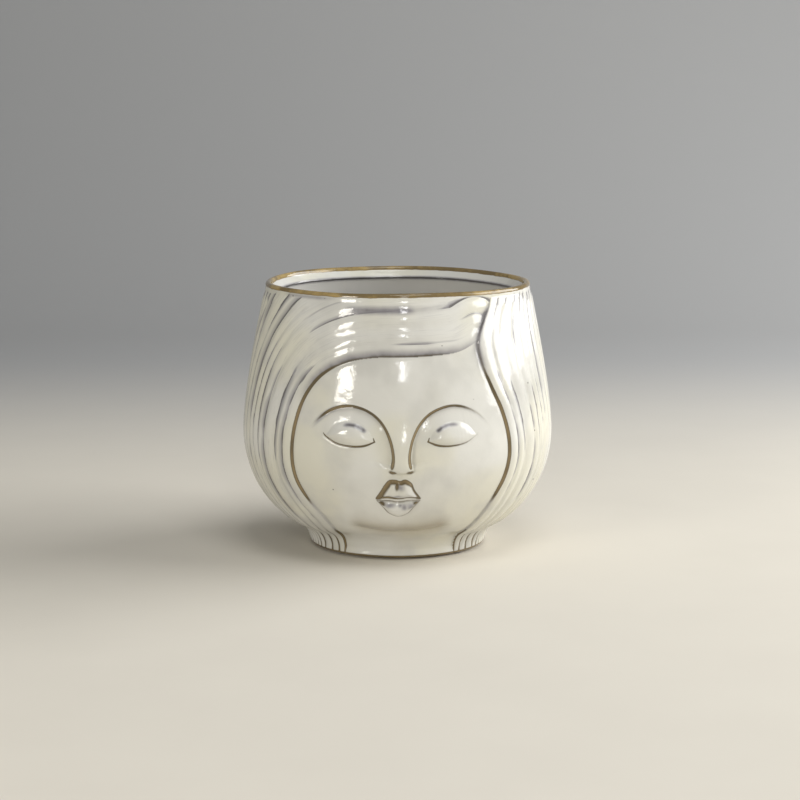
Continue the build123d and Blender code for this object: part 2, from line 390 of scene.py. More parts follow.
@dataclass
class Carving:
    """The developed face: where its spots lie, and the relief, glaze marks and painted shade that its
    features add to.
    """

    outline: PotOutline
    across: Array
    place: Array
    z: Array

    def __post_init__(self) -> None:
        """Starts without relief and marks."""
        self.half = np.abs(self.across)
        self.height, self.line, self.thin_and_shade, self.tan = (np.zeros_like(self.z) for _ in range(4))

    def drawn(self, points: Points, step: float = 0.8) -> Array:
        """Line through points given as millimetres across the face and heights."""
        return smooth_line([(x, float(self.outline.place_of(z))) for x, z in points], step)

    def mirrored_gap(self, points: Points, reach: float, step: float = 0.8) -> tuple[Array, Array]:
        """Gap to a line that is drawn on both halves, within a reach, and the share of its run."""
        return nearest(self.drawn(points, step), self.half, self.place, reach)

    def ringed(self, first: Points, second: Points) -> Array:
        """Closed outline of two lines, the second of which runs back from the end of the first."""
        return np.vstack([self.drawn(first), self.drawn(second)[1:-1]])

    def mark(self, line: Union[Array, float] = 0.0, thin_and_shade: Union[Array, float] = 0.0) -> None:
        """Marks where the glaze breaks into a line, and where it thins and where shade is painted."""
        self.line = np.maximum(self.line, line)
        self.thin_and_shade = np.maximum(self.thin_and_shade, thin_and_shade)


@dataclass
class Brow:
    """Brow arches that run down into the sides of the nose, drawn for the right half and mirrored."""

    points: Points = (
        (4.7, 51.2), (3.4, 56.0), (4.2, 65.0), (7.7, 73.5), (14.6, 80.2),
        (25.5, 83.4), (36.0, 80.6), (43.6, 74.2), (47.5, 68.5),
    )
    reach: float = 30.0
    held: Window = (0.0, 0.05, 0.68, 1.0)
    drop: float = 1.9
    fade: float = 15.0
    fade_power: float = 1.6
    edge: float = 0.4
    nose_run: Span = (0.45, 0.25)
    nose_edge: float = 1.4
    nose_line_in: float = 0.5
    line_w: float = 0.8
    shade: float = 0.45
    shade_w: float = 2.5
    tail: Window = (0.55, 0.76, 0.84, 1.0)
    tail_shade: Swell = Swell(0.75, 1.4, -0.3)

    def carve(self, face: Carving) -> None:
        """Sinks the eye sockets under the arches, draws their lines and paints shade into the sockets."""
        gap, run = face.mirrored_gap(self.points, self.reach)
        held = window(run, *self.held)
        nose_side = ramp(run, *self.nose_run)
        under = 1.0 - ramp(gap, -self.edge - self.nose_edge * nose_side, self.edge)
        hollow = np.clip(1.0 - np.abs(gap) / self.fade, 0.0, 1.0) ** self.fade_power
        face.height -= self.drop * under * hollow * held
        # Painted shade in the socket under each arch, fading away from the arch.
        shade = self.shade * np.where(gap < 0.0, np.exp(-np.abs(gap) / self.shade_w), 0.0) * held
        tail = self.tail_shade.over(gap) * window(run, *self.tail)
        line = bell(gap + self.nose_line_in * nose_side, self.line_w) * held
        face.mark(line=line, thin_and_shade=np.maximum(shade, tail))


@dataclass
class Nose:
    """Narrow nose between the lower ends of the brows, with the forehead's curve above it."""

    proud: float = 2.7
    root_z: float = 80.0
    tip_z: float = 51.6
    tip_round: float = 0.4
    base_z: float = 49.4
    side_points: int = 5
    flank: Span = (-1.8, 0.7)
    ridge_half_w: float = 6.0
    ridge_fall: float = 0.25
    nostril: Point = (4.1, 51.2)
    nostril_w: float = 2.2
    nostril_h: float = 1.25
    nostril_depth: float = 1.0
    nostril_line: float = 0.8
    forehead: Swell = Swell(0.8, 10.0, 95.0)
    forehead_w: float = 34.0

    def carve(self, face: Carving, brow: Brow) -> None:
        """Raises the nose between the brows' lines and bores the nostrils."""
        face.height += self.forehead.over(face.z) * bell(face.across, self.forehead_w)
        side_x, side_z = zip(*brow.points[: self.side_points])
        strip = ramp(np.interp(face.z, side_z, side_x) - face.half, *self.flank)
        bridge = ramp(face.z, self.root_z, self.tip_z)
        underside = ramp(face.z, self.base_z, self.tip_z + self.tip_round)
        ridge = 1.0 - self.ridge_fall * (face.half / self.ridge_half_w) ** 2
        face.height += self.proud * strip * bridge * underside * ridge
        x = (face.half - self.nostril[0]) / self.nostril_w
        y = (face.place - float(face.outline.place_of(self.nostril[1]))) / self.nostril_h
        nostril = bell(np.hypot(x, y), 1.0)
        face.height -= self.nostril_depth * nostril
        face.mark(line=self.nostril_line * nostril)


@dataclass
class Eye:
    """Lowered lid over a lash line, drawn for the right half and mirrored."""

    lash: Points = ((37.5, 68.2), (32.5, 65.3), (24.5, 63.8), (17.0, 64.5), (12.8, 66.3))
    ticks: Sequence[Points] = (((37.5, 68.2), (38.6, 69.6)), ((12.8, 66.3), (13.4, 68.2)))
    top: Points = ((12.8, 66.3), (17.0, 72.6), (25.0, 76.0), (33.0, 73.6), (37.5, 68.2))
    crease: Points = ((16.2, 70.4), (19.6, 73.0), (24.0, 74.3), (29.5, 74.0))
    proud: float = 1.9
    round_w: float = 5.0
    line_reach: float = 6.0
    lash_dip: Swell = Swell(0.35, 0.6)
    lash_line: float = 0.7
    lash_w: float = 0.72
    lash_slim: float = 0.7
    lash_full: Window = (0.0, 0.3, 0.8, 1.0)
    tick_step: float = 0.4
    tick_reach: float = 4.0
    tick_w: float = 0.75
    tick_taper: float = 0.4
    crease_run: Window = (0.0, 0.15, 0.75, 1.0)
    crease_shade: Swell = Swell(1.0, 1.0)
    crease_dip: Swell = Swell(0.2, 0.8)

    def carve(self, face: Carving) -> None:
        """Raises the lid and draws the lash line, its ticks and the crease."""
        depth = depth_inside(face.ringed(self.lash, self.top), face.half, face.place, self.round_w)
        gap, run = face.mirrored_gap(self.lash, self.line_reach)
        face.height += self.proud * domed(depth, self.round_w) - self.lash_dip.over(gap)
        taper = self.lash_slim + (1.0 - self.lash_slim) * window(run, *self.lash_full)
        face.mark(line=self.lash_line * bell(gap, self.lash_w * taper))
        for tick in self.ticks:
            gap, run = face.mirrored_gap(tick, self.tick_reach, self.tick_step)
            face.mark(line=self.lash_line * bell(gap, self.lash_w * (self.tick_w - self.tick_taper * run)))
        gap, run = face.mirrored_gap(self.crease, self.line_reach)
        ends = window(run, *self.crease_run)
        face.mark(thin_and_shade=self.crease_shade.over(gap) * ends)
        face.height -= self.crease_dip.over(gap) * ends


@dataclass
class Mouth:
    """Full lips a little to one side, with pools and shades of glaze as middle, width and height."""

    aside: float = -1.4
    proud: float = 2.5
    round_w: float = 4.0
    upper_top: Points = (
        (-10.9, 37.0), (-8.6, 40.3), (-6.2, 44.3), (-4.0, 46.7), (-1.4, 46.7),
        (0.8, 46.0), (3.2, 46.9), (5.5, 45.6), (7.8, 41.2), (10.9, 37.0),
    )
    upper_bottom: Points = ((10.9, 37.0), (5.5, 37.7), (0.0, 37.0), (-5.5, 37.7), (-10.9, 37.0))
    lower_top: Points = ((-10.9, 35.9), (-5.5, 36.0), (0.0, 35.3), (5.5, 36.0), (10.9, 35.9))
    lower_bottom: Points = (
        (10.9, 35.9), (8.0, 32.4), (4.8, 28.6), (0.0, 26.9), (-4.8, 28.6), (-8.0, 32.4), (-10.9, 35.9),
    )
    pools: Sequence[Window] = (
        (-8.4, 38.4, 2.8, 2.2), (-0.7, 44.2, 1.2, 2.6), (8.4, 37.7, 2.4, 0.9),
        (-8.6, 34.8, 2.6, 1.5), (9.0, 35.0, 2.0, 1.0),
    )
    shades: Sequence[Window] = (
        (0.8, 43.8, 2.4, 1.6), (-1.5, 38.6, 4.0, 0.9), (-4.2, 34.2, 2.8, 1.0),
        (0.9, 34.0, 1.0, 0.7), (3.0, 33.4, 1.4, 1.3), (6.6, 33.6, 2.4, 1.7),
    )
    cleft: Swell = Swell(0.4, 1.5)
    broad_x: Span = (1.0, -5.0)
    broad_z: Span = (43.0, 45.5)
    broad_top: float = 0.8
    line_w: float = 0.8
    line_broad_w: float = 1.3
    line_outer_w: float = 0.7
    upper_line: float = 0.62
    upper_broad: float = 0.26
    lower_line: float = 0.46
    pool_line: float = 0.7
    pool_edge: Span = (-0.4, 0.4)
    shade_edge: Span = (0.2, 1.2)
    veil: float = 0.16
    shade: float = 0.6
    philtrum: Swell = Swell(0.35, 1.7)
    philtrum_z: float = 48.6
    philtrum_h: float = 2.0

    @staticmethod
    def blots(x: Array, z: Array, spots: Sequence[Window]) -> Array:
        """Soft round spots, each with its middle, width and height."""
        blots = [bell(np.hypot((x - x_at) / w, (z - z_at) / h), 1.0) for x_at, z_at, w, h in spots]
        return np.maximum.reduce(blots)

    def carve(self, face: Carving) -> None:
        """Raises the lips, marks their rims and presses in the groove above them."""
        x = face.across - self.aside
        pools = self.blots(x, face.z, self.pools)
        shades = self.blots(x, face.z, self.shades)
        broad = np.maximum(ramp(x, *self.broad_x), self.broad_top * ramp(face.z, *self.broad_z))
        upper_roll = 1.0 - self.cleft.over(x)
        upper_line = self.upper_line + self.upper_broad * broad
        lips = (
            (self.upper_top, self.upper_bottom, upper_roll, broad, upper_line),
            (self.lower_top, self.lower_bottom, 1.0, 0.0, self.lower_line),
        )
        for top, bottom, roll, wide, strength in lips:
            depth = depth_inside(face.ringed(top, bottom), x, face.place, self.round_w)
            face.height += self.proud * domed(depth, self.round_w) * roll
            width = np.where(depth > 0.0, self.line_w + self.line_broad_w * wide, self.line_outer_w)
            pooled = self.pool_line * pools * ramp(depth, *self.pool_edge)
            thin_and_shade = ramp(depth, *self.shade_edge) * (self.veil + self.shade * shades)
            face.mark(line=np.maximum(strength * bell(depth, width), pooled), thin_and_shade=thin_and_shade)
        level = face.place - float(face.outline.place_of(self.philtrum_z))
        face.height -= self.philtrum.over(x) * bell(level, self.philtrum_h)


@dataclass
class Chin:
    """Round chin over a crease, with warm shade painted along the crease and over the chin's lower part."""

    crease: Points = ((-34.0, 20.5), (-16.0, 17.2), (0.0, 16.2), (16.0, 17.2), (34.0, 20.5))
    reach: float = 30.0
    held: Window = (0.0, 0.16, 0.84, 1.0)
    dip: Swell = Swell(0.7, 3.4)
    proud: Swell = Swell(0.9, 6.0, 7.0)
    tan: Swell = Swell(0.85, 8.0, 2.5)
    chin_shade_line: Swell = Swell(1.0, 2.2)

    def carve(self, face: Carving) -> None:
        """Sinks the crease, raises the chin over it and paints warm shade along it."""
        gap, run = nearest(face.drawn(self.crease), face.across, face.place, self.reach)
        held = window(run, *self.held)
        raised = np.where(gap > 0.0, self.proud.over(gap), 0.0)
        face.height += (raised - self.dip.over(gap)) * held
        # Painted warm shade: broad over the chin's lower part and narrow in the crease.
        face.tan = np.maximum(self.tan.over(gap), self.chin_shade_line.over(gap)) * held


# Hair and relief of the outside


@dataclass
class Marks:
    """What the surface carries at each spot."""

    height: Array
    line: Array
    thin_and_shade: Array
    tan: Array
    phase: Array
    flute: Array
    dash: Array
    along: Array
    spread: Array
    gilt: Array

    def among(self, chosen: Array) -> "Marks":
        """These marks of some chosen spots among all spots, blank elsewhere."""
        full = {name: np.zeros(chosen.shape) for name in vars(self)}
        for name, values in vars(self).items():
            full[name][chosen] = values
        return Marks(**full)


@dataclass
class Hair:
    """Swept hair: its edges round the face, the overlap at the parting and the run of its strands."""

    fringe: Points = (
        (-37.5, 1.0), (-35.5, 12.0), (-35.0, 22.0), (-38.7, 32.0), (-42.2, 44.0),
        (-42.8, 59.0), (-41.3, 74.0), (-37.8, 86.7), (-31.8, 96.7), (-21.6, 104.2),
        (-11.0, 107.0), (0.0, 107.4), (12.0, 107.8), (23.5, 109.4), (31.7, 113.6),
    )
    lock: Points = (
        (42.0, 136.0), (39.5, 130.5), (34.5, 121.0), (31.8, 112.7), (32.8, 103.5),
        (36.3, 91.0), (40.6, 78.0), (43.0, 65.0), (43.4, 55.0), (42.4, 45.5),
        (40.0, 35.0), (37.4, 22.5), (36.0, 12.0), (37.5, 1.0),
    )
    step: float = 1.5
    roll: float = 1.1
    fringe_roll_w: float = 9.0
    lock_roll_w: float = 3.2
    edge_half_w: float = 0.45
    soft_run: Span = (0.86, 1.0)
    soft_half_w: float = 5.0
    valley: Swell = Swell(0.3, 0.8, -0.6)
    parting_run: Span = (0.24, 0.16)
    parting_drop: float = 1.1
    parting_w: float = 4.5
    parting_below: Span = (0.5, 6.0)
    lip_dip: Swell = Swell(0.4, 2.2, 2.2)
    foot_fade: Span = (1.2, 5.0)
    pitch: float = 7.0
    uneven: Sequence[Triple] = ((0.2, 1.3, 0.0), (0.06, 3.1, 0.032))
    hang_z: Span = (76.0, 42.0)
    plumb_deg: float = 40.0
    relax_w: float = 45.0
    arc_run: Span = (70.0, 25.0)
    stretch_from: float = 0.6
    stretch: float = 0.6
    crown_z: Span = (100.0, 112.0)
    crown_turn: Span = (0.9, 0.5)
    crown_flat: float = 0.55
    flute_run: Span = (3.5, 8.0)
    flute_below: Span = (2.0, 9.0)
    flute_z: Span = (1.5, 5.0)


@dataclass
class HairGlaze:
    """Where the glaze on the hair pools, thins and breaks, and where shade is painted along its edges and
    under the rim; turns are radians from the face's middle.
    """

    dash_run: Span = (3.0, 6.0)
    dash_below: Span = (1.0, 3.0)
    low_z: Span = (42.0, 24.0)
    low_pale: float = 0.35
    lock_turn: float = 1.1
    lock_reach: Span = (0.9, 0.5)
    lock_pale: float = 0.4
    crown_pale: float = 0.3
    roots: Swell = Swell(1.0, 2.4, 3.6)
    root_right: Span = (0.3, 0.42)
    root_left: Span = (-0.75, -0.9)
    root_left_share: float = 0.6
    fringe: Swell = Swell(1.0, 0.8, 0.1)
    fringe_z: Span = (24.0, 40.0)
    fringe_fade_z: Span = (96.0, 105.0)
    lock: Swell = Swell(1.0, 0.75)
    lock_z: Span = (24.0, 42.0)
    lock_fade_z: Span = (86.0, 104.0)
    edge_fade: float = 0.6
    parting_fade: float = 0.8
    strand: Swell = Swell(0.8, 1.05)
    strand_run: Span = (-1.5, 0.0)
    strand_z: Span = (19.0, 11.0)
    strand_turn: Span = (1.35, 1.0)
    # Painted shade on the fringe's roll, above its edge.
    shade_from: float = -0.3
    shade_w: float = 4.8
    shade_soft: float = 0.45
    shade_z: Span = (76.0, 98.0)
    # Painted shade next to the lock's edge, wider on the fringe's side.
    lock_shade: float = 0.95
    beside_w: Span = (2.4, 1.2)
    beside_z: Window = (86.0, 108.0, 126.0, 133.0)
    jaw: Swell = Swell(0.5, 0.9)
    jaw_z: Window = (8.0, 14.0, 30.0, 44.0)
    jaw_turn: Span = (1.2, 0.9)
    band: Swell = Swell(0.8, 2.3, 6.2)
    band_rise: float = 3.0
    band_rise_turn: Span = (0.1, 0.5)
    band_turn: Window = (-0.46, -0.34, 0.36, 0.5)
    band_pale: float = 0.55
    band_pale_turn: Span = (0.02, 0.14)
    # Painted shade just under the lip of the rim, on the left front.
    rim_shade: Swell = Swell(0.6, 1.2, 1.1)
    rim_shade_turn: Window = (-1.05, -0.9, -0.62, -0.4)
    ungilt: Swell = Swell(1.0, 4.0)
    ungilt_z: Span = (74.0, 94.0)


@dataclass
class Spots:
    """Spots of the outside and how they lie to the edges of the hair."""

    angle: Array
    place: Array
    z: Array
    below: Array
    fringe: Array
    fringe_run: Array
    lock: Array
    soft: Array
    parting: Array
    on_fringe: Array
    on_lock: Array
    run_w: Array

    @property
    def edge_gap(self) -> Array:
        """Distance from the nearer edge of the hair."""
        return np.minimum(np.abs(self.fringe), np.abs(self.lock))


@dataclass
class PotRelief:
    """Relief, glaze marks and painted shade of the pot's outside, over its developed surface."""

    outline: PotOutline
    hair: Hair = field(default_factory=Hair)
    glaze: HairGlaze = field(default_factory=HairGlaze)
    brow: Brow = field(default_factory=Brow)
    nose: Nose = field(default_factory=Nose)
    eye: Eye = field(default_factory=Eye)
    mouth: Mouth = field(default_factory=Mouth)
    chin: Chin = field(default_factory=Chin)
    spread_r: float = 76.0

    def turned_line(self, points: Points) -> Array:
        """Line through points given as degrees from the face's middle and heights."""
        turned = [(self.spread_r * math.radians(a), float(self.outline.place_of(z))) for a, z in points]
        return smooth_line(turned)

    def relaxed(self, points: Points, across: Array, place: Array, side: float) -> Array:
        """Measures how far spots lie behind an edge of the hair, where strands hang straighter further back.

        Args:
            points: Points of the edge as degrees and heights.
            across: Spots across the developed surface.
            place: Places of the spots along the outline.
            side: 1 where the hair lies to the right of the edge and -1 where it lies to the left.

        Returns:
            Distance behind the edge.
        """
        line = self.turned_line(points)
        order = np.argsort(line[:, 1])
        edge = np.interp(place, line[order, 1], line[order, 0])
        behind = side * (across - edge)
        plumb = side * self.hair.plumb_deg * math.radians(self.spread_r)
        sway = (edge - plumb) * np.exp(-np.maximum(behind, 0.0) / self.hair.relax_w)
        return side * (across - plumb - sway)

    def measured(self, angle: Array, place: Array) -> Spots:
        """Measures spots, given as angles and places along the outline, against the edges of the hair."""
        hair = self.hair
        quarter = math.pi / 2
        z = self.outline.at(place)[1]
        over_fringe = np.where(angle < quarter, angle, angle - 2 * math.pi) * self.spread_r
        over_lock = np.where(angle > -quarter, angle, angle + 2 * math.pi) * self.spread_r
        fringe, fringe_run = nearest(self.turned_line(hair.fringe), over_fringe, place)
        lock, lock_run = nearest(self.turned_line(hair.lock), over_lock, place)
        soft = ramp(fringe_run, *hair.soft_run)
        half_w = hair.edge_half_w + hair.soft_half_w * soft
        run_left = self.relaxed(hair.fringe, over_fringe, place, -1.0)
        run_left = fringe + (run_left - fringe) * ramp(z, *hair.hang_z)
        run_right = self.relaxed(hair.lock, over_lock, place, 1.0)
        run_ahead = np.where(lock < 0.0, run_left, run_right)
        return Spots(
            angle=angle,
            place=place,
            z=z,
            below=self.outline.rim_z - z,
            fringe=fringe,
            fringe_run=fringe_run,
            lock=lock,
            soft=soft,
            parting=ramp(lock_run, *hair.parting_run),
            on_fringe=ramp(fringe, -half_w, half_w),
            on_lock=ramp(lock, -hair.edge_half_w, hair.edge_half_w),
            run_w=np.where(np.abs(angle) < quarter, run_ahead, np.minimum(run_left, run_right)),
        )

    def form(self, at: Spots) -> Array:
        """Height of the hair's relief, with the face sunk between its edges."""
        hair = self.hair
        rolls = ((at.fringe, hair.fringe_roll_w), (at.lock, hair.lock_roll_w))
        fringe_roll, lock_roll = (hair.roll * np.clip(1.0 - gap / w, 0.0, 1.0) ** 2 for gap, w in rolls)
        overlap = hair.parting_drop * at.parting * np.exp(-np.abs(at.lock) / hair.parting_w) * at.on_fringe
        height = -hair.step * (1.0 - at.on_fringe) - fringe_roll * (1.0 - at.soft) * at.on_fringe
        height -= hair.valley.over(at.fringe) * (1.0 - at.soft)
        height -= hair.valley.over(at.lock) * (1.0 - at.parting)
        height -= overlap * ramp(at.below, *hair.parting_below)
        height = height * (1.0 - at.on_lock) - lock_roll * (1.0 - at.parting) * at.on_lock
        return height * ramp(at.z, *hair.foot_fade) - hair.lip_dip.over(at.below)

    def strands(self, at: Spots) -> tuple[Array, Array]:
        """Number of the strand at each spot, counted on between grooves, and the width of a strand there."""
        even = at.run_w / self.hair.pitch
        phase = even.copy()
        rate = np.ones_like(even)
        for size, pace, lean in self.hair.uneven:
            phase += size * np.sin(pace * even + lean * at.place)
            rate += size * pace * np.cos(pace * even + lean * at.place)
        return phase, self.hair.pitch / rate

    def along(self, at: Spots) -> Array:
        """Distance along the strands, which follow the fringe's edge near it and the outline further back."""
        hair = self.hair
        length = np.linalg.norm(np.diff(self.turned_line(hair.fringe), axis=0), axis=1).sum()
        share = at.fringe_run - hair.stretch * np.maximum(at.fringe_run - hair.stretch_from, 0.0)
        return at.place + (length * share - at.place) * ramp(at.run_w, *hair.arc_run) * (1.0 - at.on_lock)

    def dashes(self, at: Spots, crown: Array) -> Array:
        """How much the grooves are streaked, past 1 at the strands' roots under the rim."""
        glaze = self.glaze
        lock_side = at.on_lock * ramp(np.abs(at.angle - glaze.lock_turn), *glaze.lock_reach)
        pale = (1.0 - glaze.low_pale * ramp(at.z, *glaze.low_z)) * (1.0 - glaze.lock_pale * lock_side)
        pale = pale * (1.0 - glaze.crown_pale * crown)
        left = glaze.root_left_share * ramp(at.angle, *glaze.root_left)
        roots = glaze.roots.over(at.below) * np.maximum(ramp(at.angle, *glaze.root_right), left)
        return ramp(at.run_w, *glaze.dash_run) * (ramp(at.below, *glaze.dash_below) * pale + roots)

    def lines(self, at: Spots, phase: Array, spread: Array) -> Array:
        """Broken glaze along the edges of the hair and between the strands on the foot."""
        glaze = self.glaze
        fringe = glaze.fringe.over(at.fringe) * (1.0 - at.soft) * (1.0 - at.on_lock)
        fringe *= ramp(at.z, *glaze.fringe_z) * (1.0 - glaze.edge_fade * ramp(at.z, *glaze.fringe_fade_z))
        lock = glaze.lock.over(at.lock) * (1.0 - glaze.parting_fade * at.parting)
        lock *= ramp(at.z, *glaze.lock_z) * (1.0 - glaze.edge_fade * ramp(at.z, *glaze.lock_fade_z))
        strand = glaze.strand.over((phase - np.round(phase)) * spread) * ramp(at.run_w, *glaze.strand_run)
        strand *= ramp(at.z, *glaze.strand_z) * ramp(np.abs(at.angle), *glaze.strand_turn)
        return np.maximum.reduce([fringe, lock, strand])

    def thinned_and_shaded(self, at: Spots) -> Array:
        """Glaze that thins down the jaw and across the crown, and painted shade on the fringe's roll, next to
        the lock and under the rim.
        """
        glaze = self.glaze
        # Painted shade on the fringe's roll, darkest at its edge.
        fade = np.where(at.fringe > glaze.shade_from, np.clip(1.0 - at.fringe / glaze.shade_w, 0.0, 1.0), 0.0)
        shade = fade * (1.0 - at.on_lock) * (1.0 - glaze.shade_soft * at.soft) * ramp(at.z, *glaze.shade_z)
        # Painted shade next to the lock's edge, where it lies over the fringe.
        lock_shade = glaze.lock_shade * np.exp(-np.abs(at.lock) / np.where(at.lock < 0.0, *glaze.beside_w))
        lock_shade *= window(at.z, *glaze.beside_z)
        jaw = glaze.jaw.over(at.edge_gap) * window(at.z, *glaze.jaw_z)
        jaw *= ramp(np.abs(at.angle), *glaze.jaw_turn)
        band = glaze.band.over(at.below + glaze.band_rise * ramp(at.angle, *glaze.band_rise_turn))
        band *= window(at.angle, *glaze.band_turn)
        band *= 1.0 - glaze.band_pale * ramp(at.angle, *glaze.band_pale_turn)
        # Painted shade just under the lip of the rim, on the left front.
        rim = glaze.rim_shade.over(at.below) * window(at.angle, *glaze.rim_shade_turn)
        return np.maximum.reduce([shade, lock_shade, jaw, band, rim])

    def marks(self, angle: Array, place: Array) -> Marks:
        """Works out the relief, the glaze marks and the painted shade.

        Args:
            angle: Angles of the spots from the face's middle, within half a turn.
            place: Places of the spots along the outline.

        Returns:
            The marks at each spot.
        """
        hair = self.hair
        at = self.measured(angle, place)
        phase, spread = self.strands(at)
        crown = ramp(at.z, *hair.crown_z) * ramp(np.abs(angle), *hair.crown_turn)
        flute = ramp(at.run_w, *hair.flute_run) * ramp(at.below, *hair.flute_below)
        skin = (1.0 - at.on_fringe) * (1.0 - at.on_lock) * (1.0 - at.soft)
        face = Carving(self.outline, angle * self.spread_r, place, at.z)
        self.brow.carve(face)
        self.nose.carve(face, self.brow)
        self.eye.carve(face)
        self.mouth.carve(face)
        self.chin.carve(face)
        return Marks(
            height=self.form(at) + skin * face.height,
            line=np.maximum(self.lines(at, phase, spread), skin * face.line),
            thin_and_shade=np.maximum(self.thinned_and_shaded(at), skin * face.thin_and_shade),
            tan=skin * face.tan,
            phase=phase,
            flute=flute * ramp(at.z, *hair.flute_z) * (1.0 - hair.crown_flat * crown),
            dash=self.dashes(at, crown),
            along=self.along(at),
            spread=spread,
            gilt=1.0 - ramp(at.z, *self.glaze.ungilt_z) * self.glaze.ungilt.over(at.edge_gap),
        )


@dataclass
class CellTree:
    """Cells of a closed surface, split finer where its relief bends."""

    rows: int
    columns: int
    cell: float
    levels: int = 3
    tolerance: float = 0.022

    def split(self, bend: Array, always: Array) -> list[Array]:
        """Marks the cells to split on each level, with neighbours one level apart at most.

        Args:
            bend: Bend of the relief on the finest lattice, per millimetre.
            always: Cells of the coarsest level that are split once in any case.

        Returns:
            One table of cells a level, true where a cell is split.
        """
        wanted: list[Array] = []
        for level in range(self.levels):
            parts = 2**level
            size = 2 ** (self.levels - level)
            peak = bend.reshape(self.rows * parts, size, self.columns * parts, size).max(axis=(1, 3))
            sag = peak * (self.cell / parts) ** 2 / 8.0
            wanted.append(sag > self.tolerance)
        wanted[0] |= always
        for level in range(self.levels - 2, -1, -1):
            parts = 2**level
            grown = self.spread(wanted[level + 1])
            wanted[level] |= grown.reshape(self.rows * parts, 2, self.columns * parts, 2).any(axis=(1, 3))
        return wanted

    @staticmethod
    def spread(cells: Array) -> Array:
        """Cells together with their eight neighbours, round both ways of the surface."""
        steps = [(row, column) for row in (-1, 0, 1) for column in (-1, 0, 1)]
        return np.logical_or.reduce([np.roll(cells, step, axis=(0, 1)) for step in steps])

    def polygons(self, split: list[Array]) -> tuple[Array, Array, Faces]:
        """Turns the cells into polygons.

        Args:
            split: One table of cells a level, true where a cell is split.

        Returns:
            Lattice rows and lattice columns of the vertices, and the polygons.
        """
        high = self.rows << self.levels
        wide = self.columns << self.levels
        used = np.zeros((high, wide), dtype=bool)
        exists = np.ones((self.rows, self.columns), dtype=bool)
        leaves: list[tuple[int, Array, Array]] = []
        for level in range(self.levels + 1):
            size = 1 << (self.levels - level)
            leaf = exists & ~split[level] if level < self.levels else exists
            row, column = (index * size for index in np.nonzero(leaf))
            leaves.append((size, row, column))
            for down, along in ((0, 0), (0, size), (size, size), (size, 0)):
                used[(row + down) % high, (column + along) % wide] = True
            if level < self.levels:
                exists = np.repeat(np.repeat(split[level], 2, axis=0), 2, axis=1)
        numbers = np.cumsum(used).reshape(used.shape) - 1
        faces: Faces = []
        for size, row, column in leaves:
            half = size // 2
            ring = (
                (0, 0), (0, half), (0, size), (half, size), (size, size), (size, half), (size, 0), (half, 0),
            )
            spots = [((row + down) % high, (column + along) % wide) for down, along in ring]
            ids = np.stack([numbers[spot] for spot in spots], axis=1)
            kept = np.stack([used[spot] for spot in spots], axis=1)
            if half == 0:
                kept[:, 1::2] = False
            faces.extend(line[keep].tolist() for line, keep in zip(ids, kept))
        rows, columns = np.nonzero(used)
        return rows, columns, faces


# Meshes


def new_piece(name: str, vertices: Array, faces: Faces) -> Thing:
    """Makes a smooth-shaded mesh object at the origin.

    Args:
        name: Name of the piece.
        vertices: Vertices in millimetres, one a row.
        faces: Vertex numbers of each polygon.

    Returns:
        The new object, linked to the scene.
    """
    mesh = bpy.data.meshes.new(name)
    mesh.from_pydata((vertices * MM).tolist(), [], faces)
    mesh.shade_smooth()
    piece = bpy.data.objects.new(name, mesh)
    bpy.context.scene.collection.objects.link(piece)
    return piece


def turned_mesh(line: Array, count: int) -> tuple[Array, Faces]:
    """Turns an open outline that starts and ends on the axis.

    Args:
        line: Radius and height of each point, from the top on the axis to the bottom on the axis.
        count: Number of columns round.

    Returns:
        Vertices in millimetres and polygons that face outwards.
    """
    turn = np.linspace(0.0, 2 * math.pi, count, endpoint=False)
    rings = [np.column_stack([r * np.cos(turn), r * np.sin(turn), np.full(count, z)]) for r, z in line[1:-1]]
    top, bottom = ([[0.0, 0.0, z]] for z in (line[0, 1], line[-1, 1]))
    vertices = np.vstack([top, *rings, bottom])
    last = len(vertices) - 1
    end = last - count
    faces: Faces = []
    for k in range(count):
        n = (k + 1) % count
        faces.append([0, 1 + k, 1 + n])
        for a in range(1, end, count):
            faces.append([a + k, a + count + k, a + count + n, a + n])
        faces.append([end + k, last, end + n])
    return vertices, faces


def add_vectors(piece: Thing, name: str, *columns: Array) -> None:
    """Stores three values a vertex as one vector attribute of a piece."""
    layer = piece.data.attributes.new(name, "FLOAT_VECTOR", "POINT")
    layer.data.foreach_set("vector", np.column_stack(columns).astype(np.float32).ravel())


def apply_tree(piece: Thing, tree: bpy.types.NodeTree, values: dict[str, object]) -> None:
    """Runs a geometry node tree on a piece and keeps the result as its plain mesh.

    Args:
        piece: Piece whose mesh goes into the tree.
        tree: Geometry node tree.
        values: Values of the tree's named inputs.
    """
    modifier = piece.modifiers.new(tree.name, "NODES")
    modifier.node_group = tree
    for item in tree.interface.items_tree:
        if item.item_type == "SOCKET" and item.in_out == "INPUT" and item.name in values:
            modifier[item.identifier] = values[item.name]
    bpy.context.view_layer.update()
    graph = bpy.context.evaluated_depsgraph_get()
    done = bpy.data.meshes.new_from_object(
        piece.evaluated_get(graph), preserve_all_data_layers=True, depsgraph=graph
    )
    piece.modifiers.remove(modifier)
    before = piece.data
    piece.data = done
    bpy.data.meshes.remove(before)
    done.name = piece.name
    done.shade_smooth()


def dress(piece: Thing, body: Body, node: str) -> None:
    """Lets a piece ride on a body and hides the solid of the node that it stands for."""
    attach(piece, body.value)
    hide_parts(node)


# Node trees


@dataclass(frozen=True)
class Wire:
    """One output of a node, which formulas can use like a number."""

    sheet: "NodeSheet"
    socket: bpy.types.NodeSocket

    def __add__(self, other: Feed) -> "Wire":
        """Adds a node that sums."""
        return self.sheet.math("ADD", self, other)

    def __sub__(self, other: Feed) -> "Wire":
        """Adds a node that subtracts."""
        return self.sheet.math("SUBTRACT", self, other)

    def __mul__(self, other: Feed) -> "Wire":
        """Adds a node that multiplies."""
        return self.sheet.math("MULTIPLY", self, other)


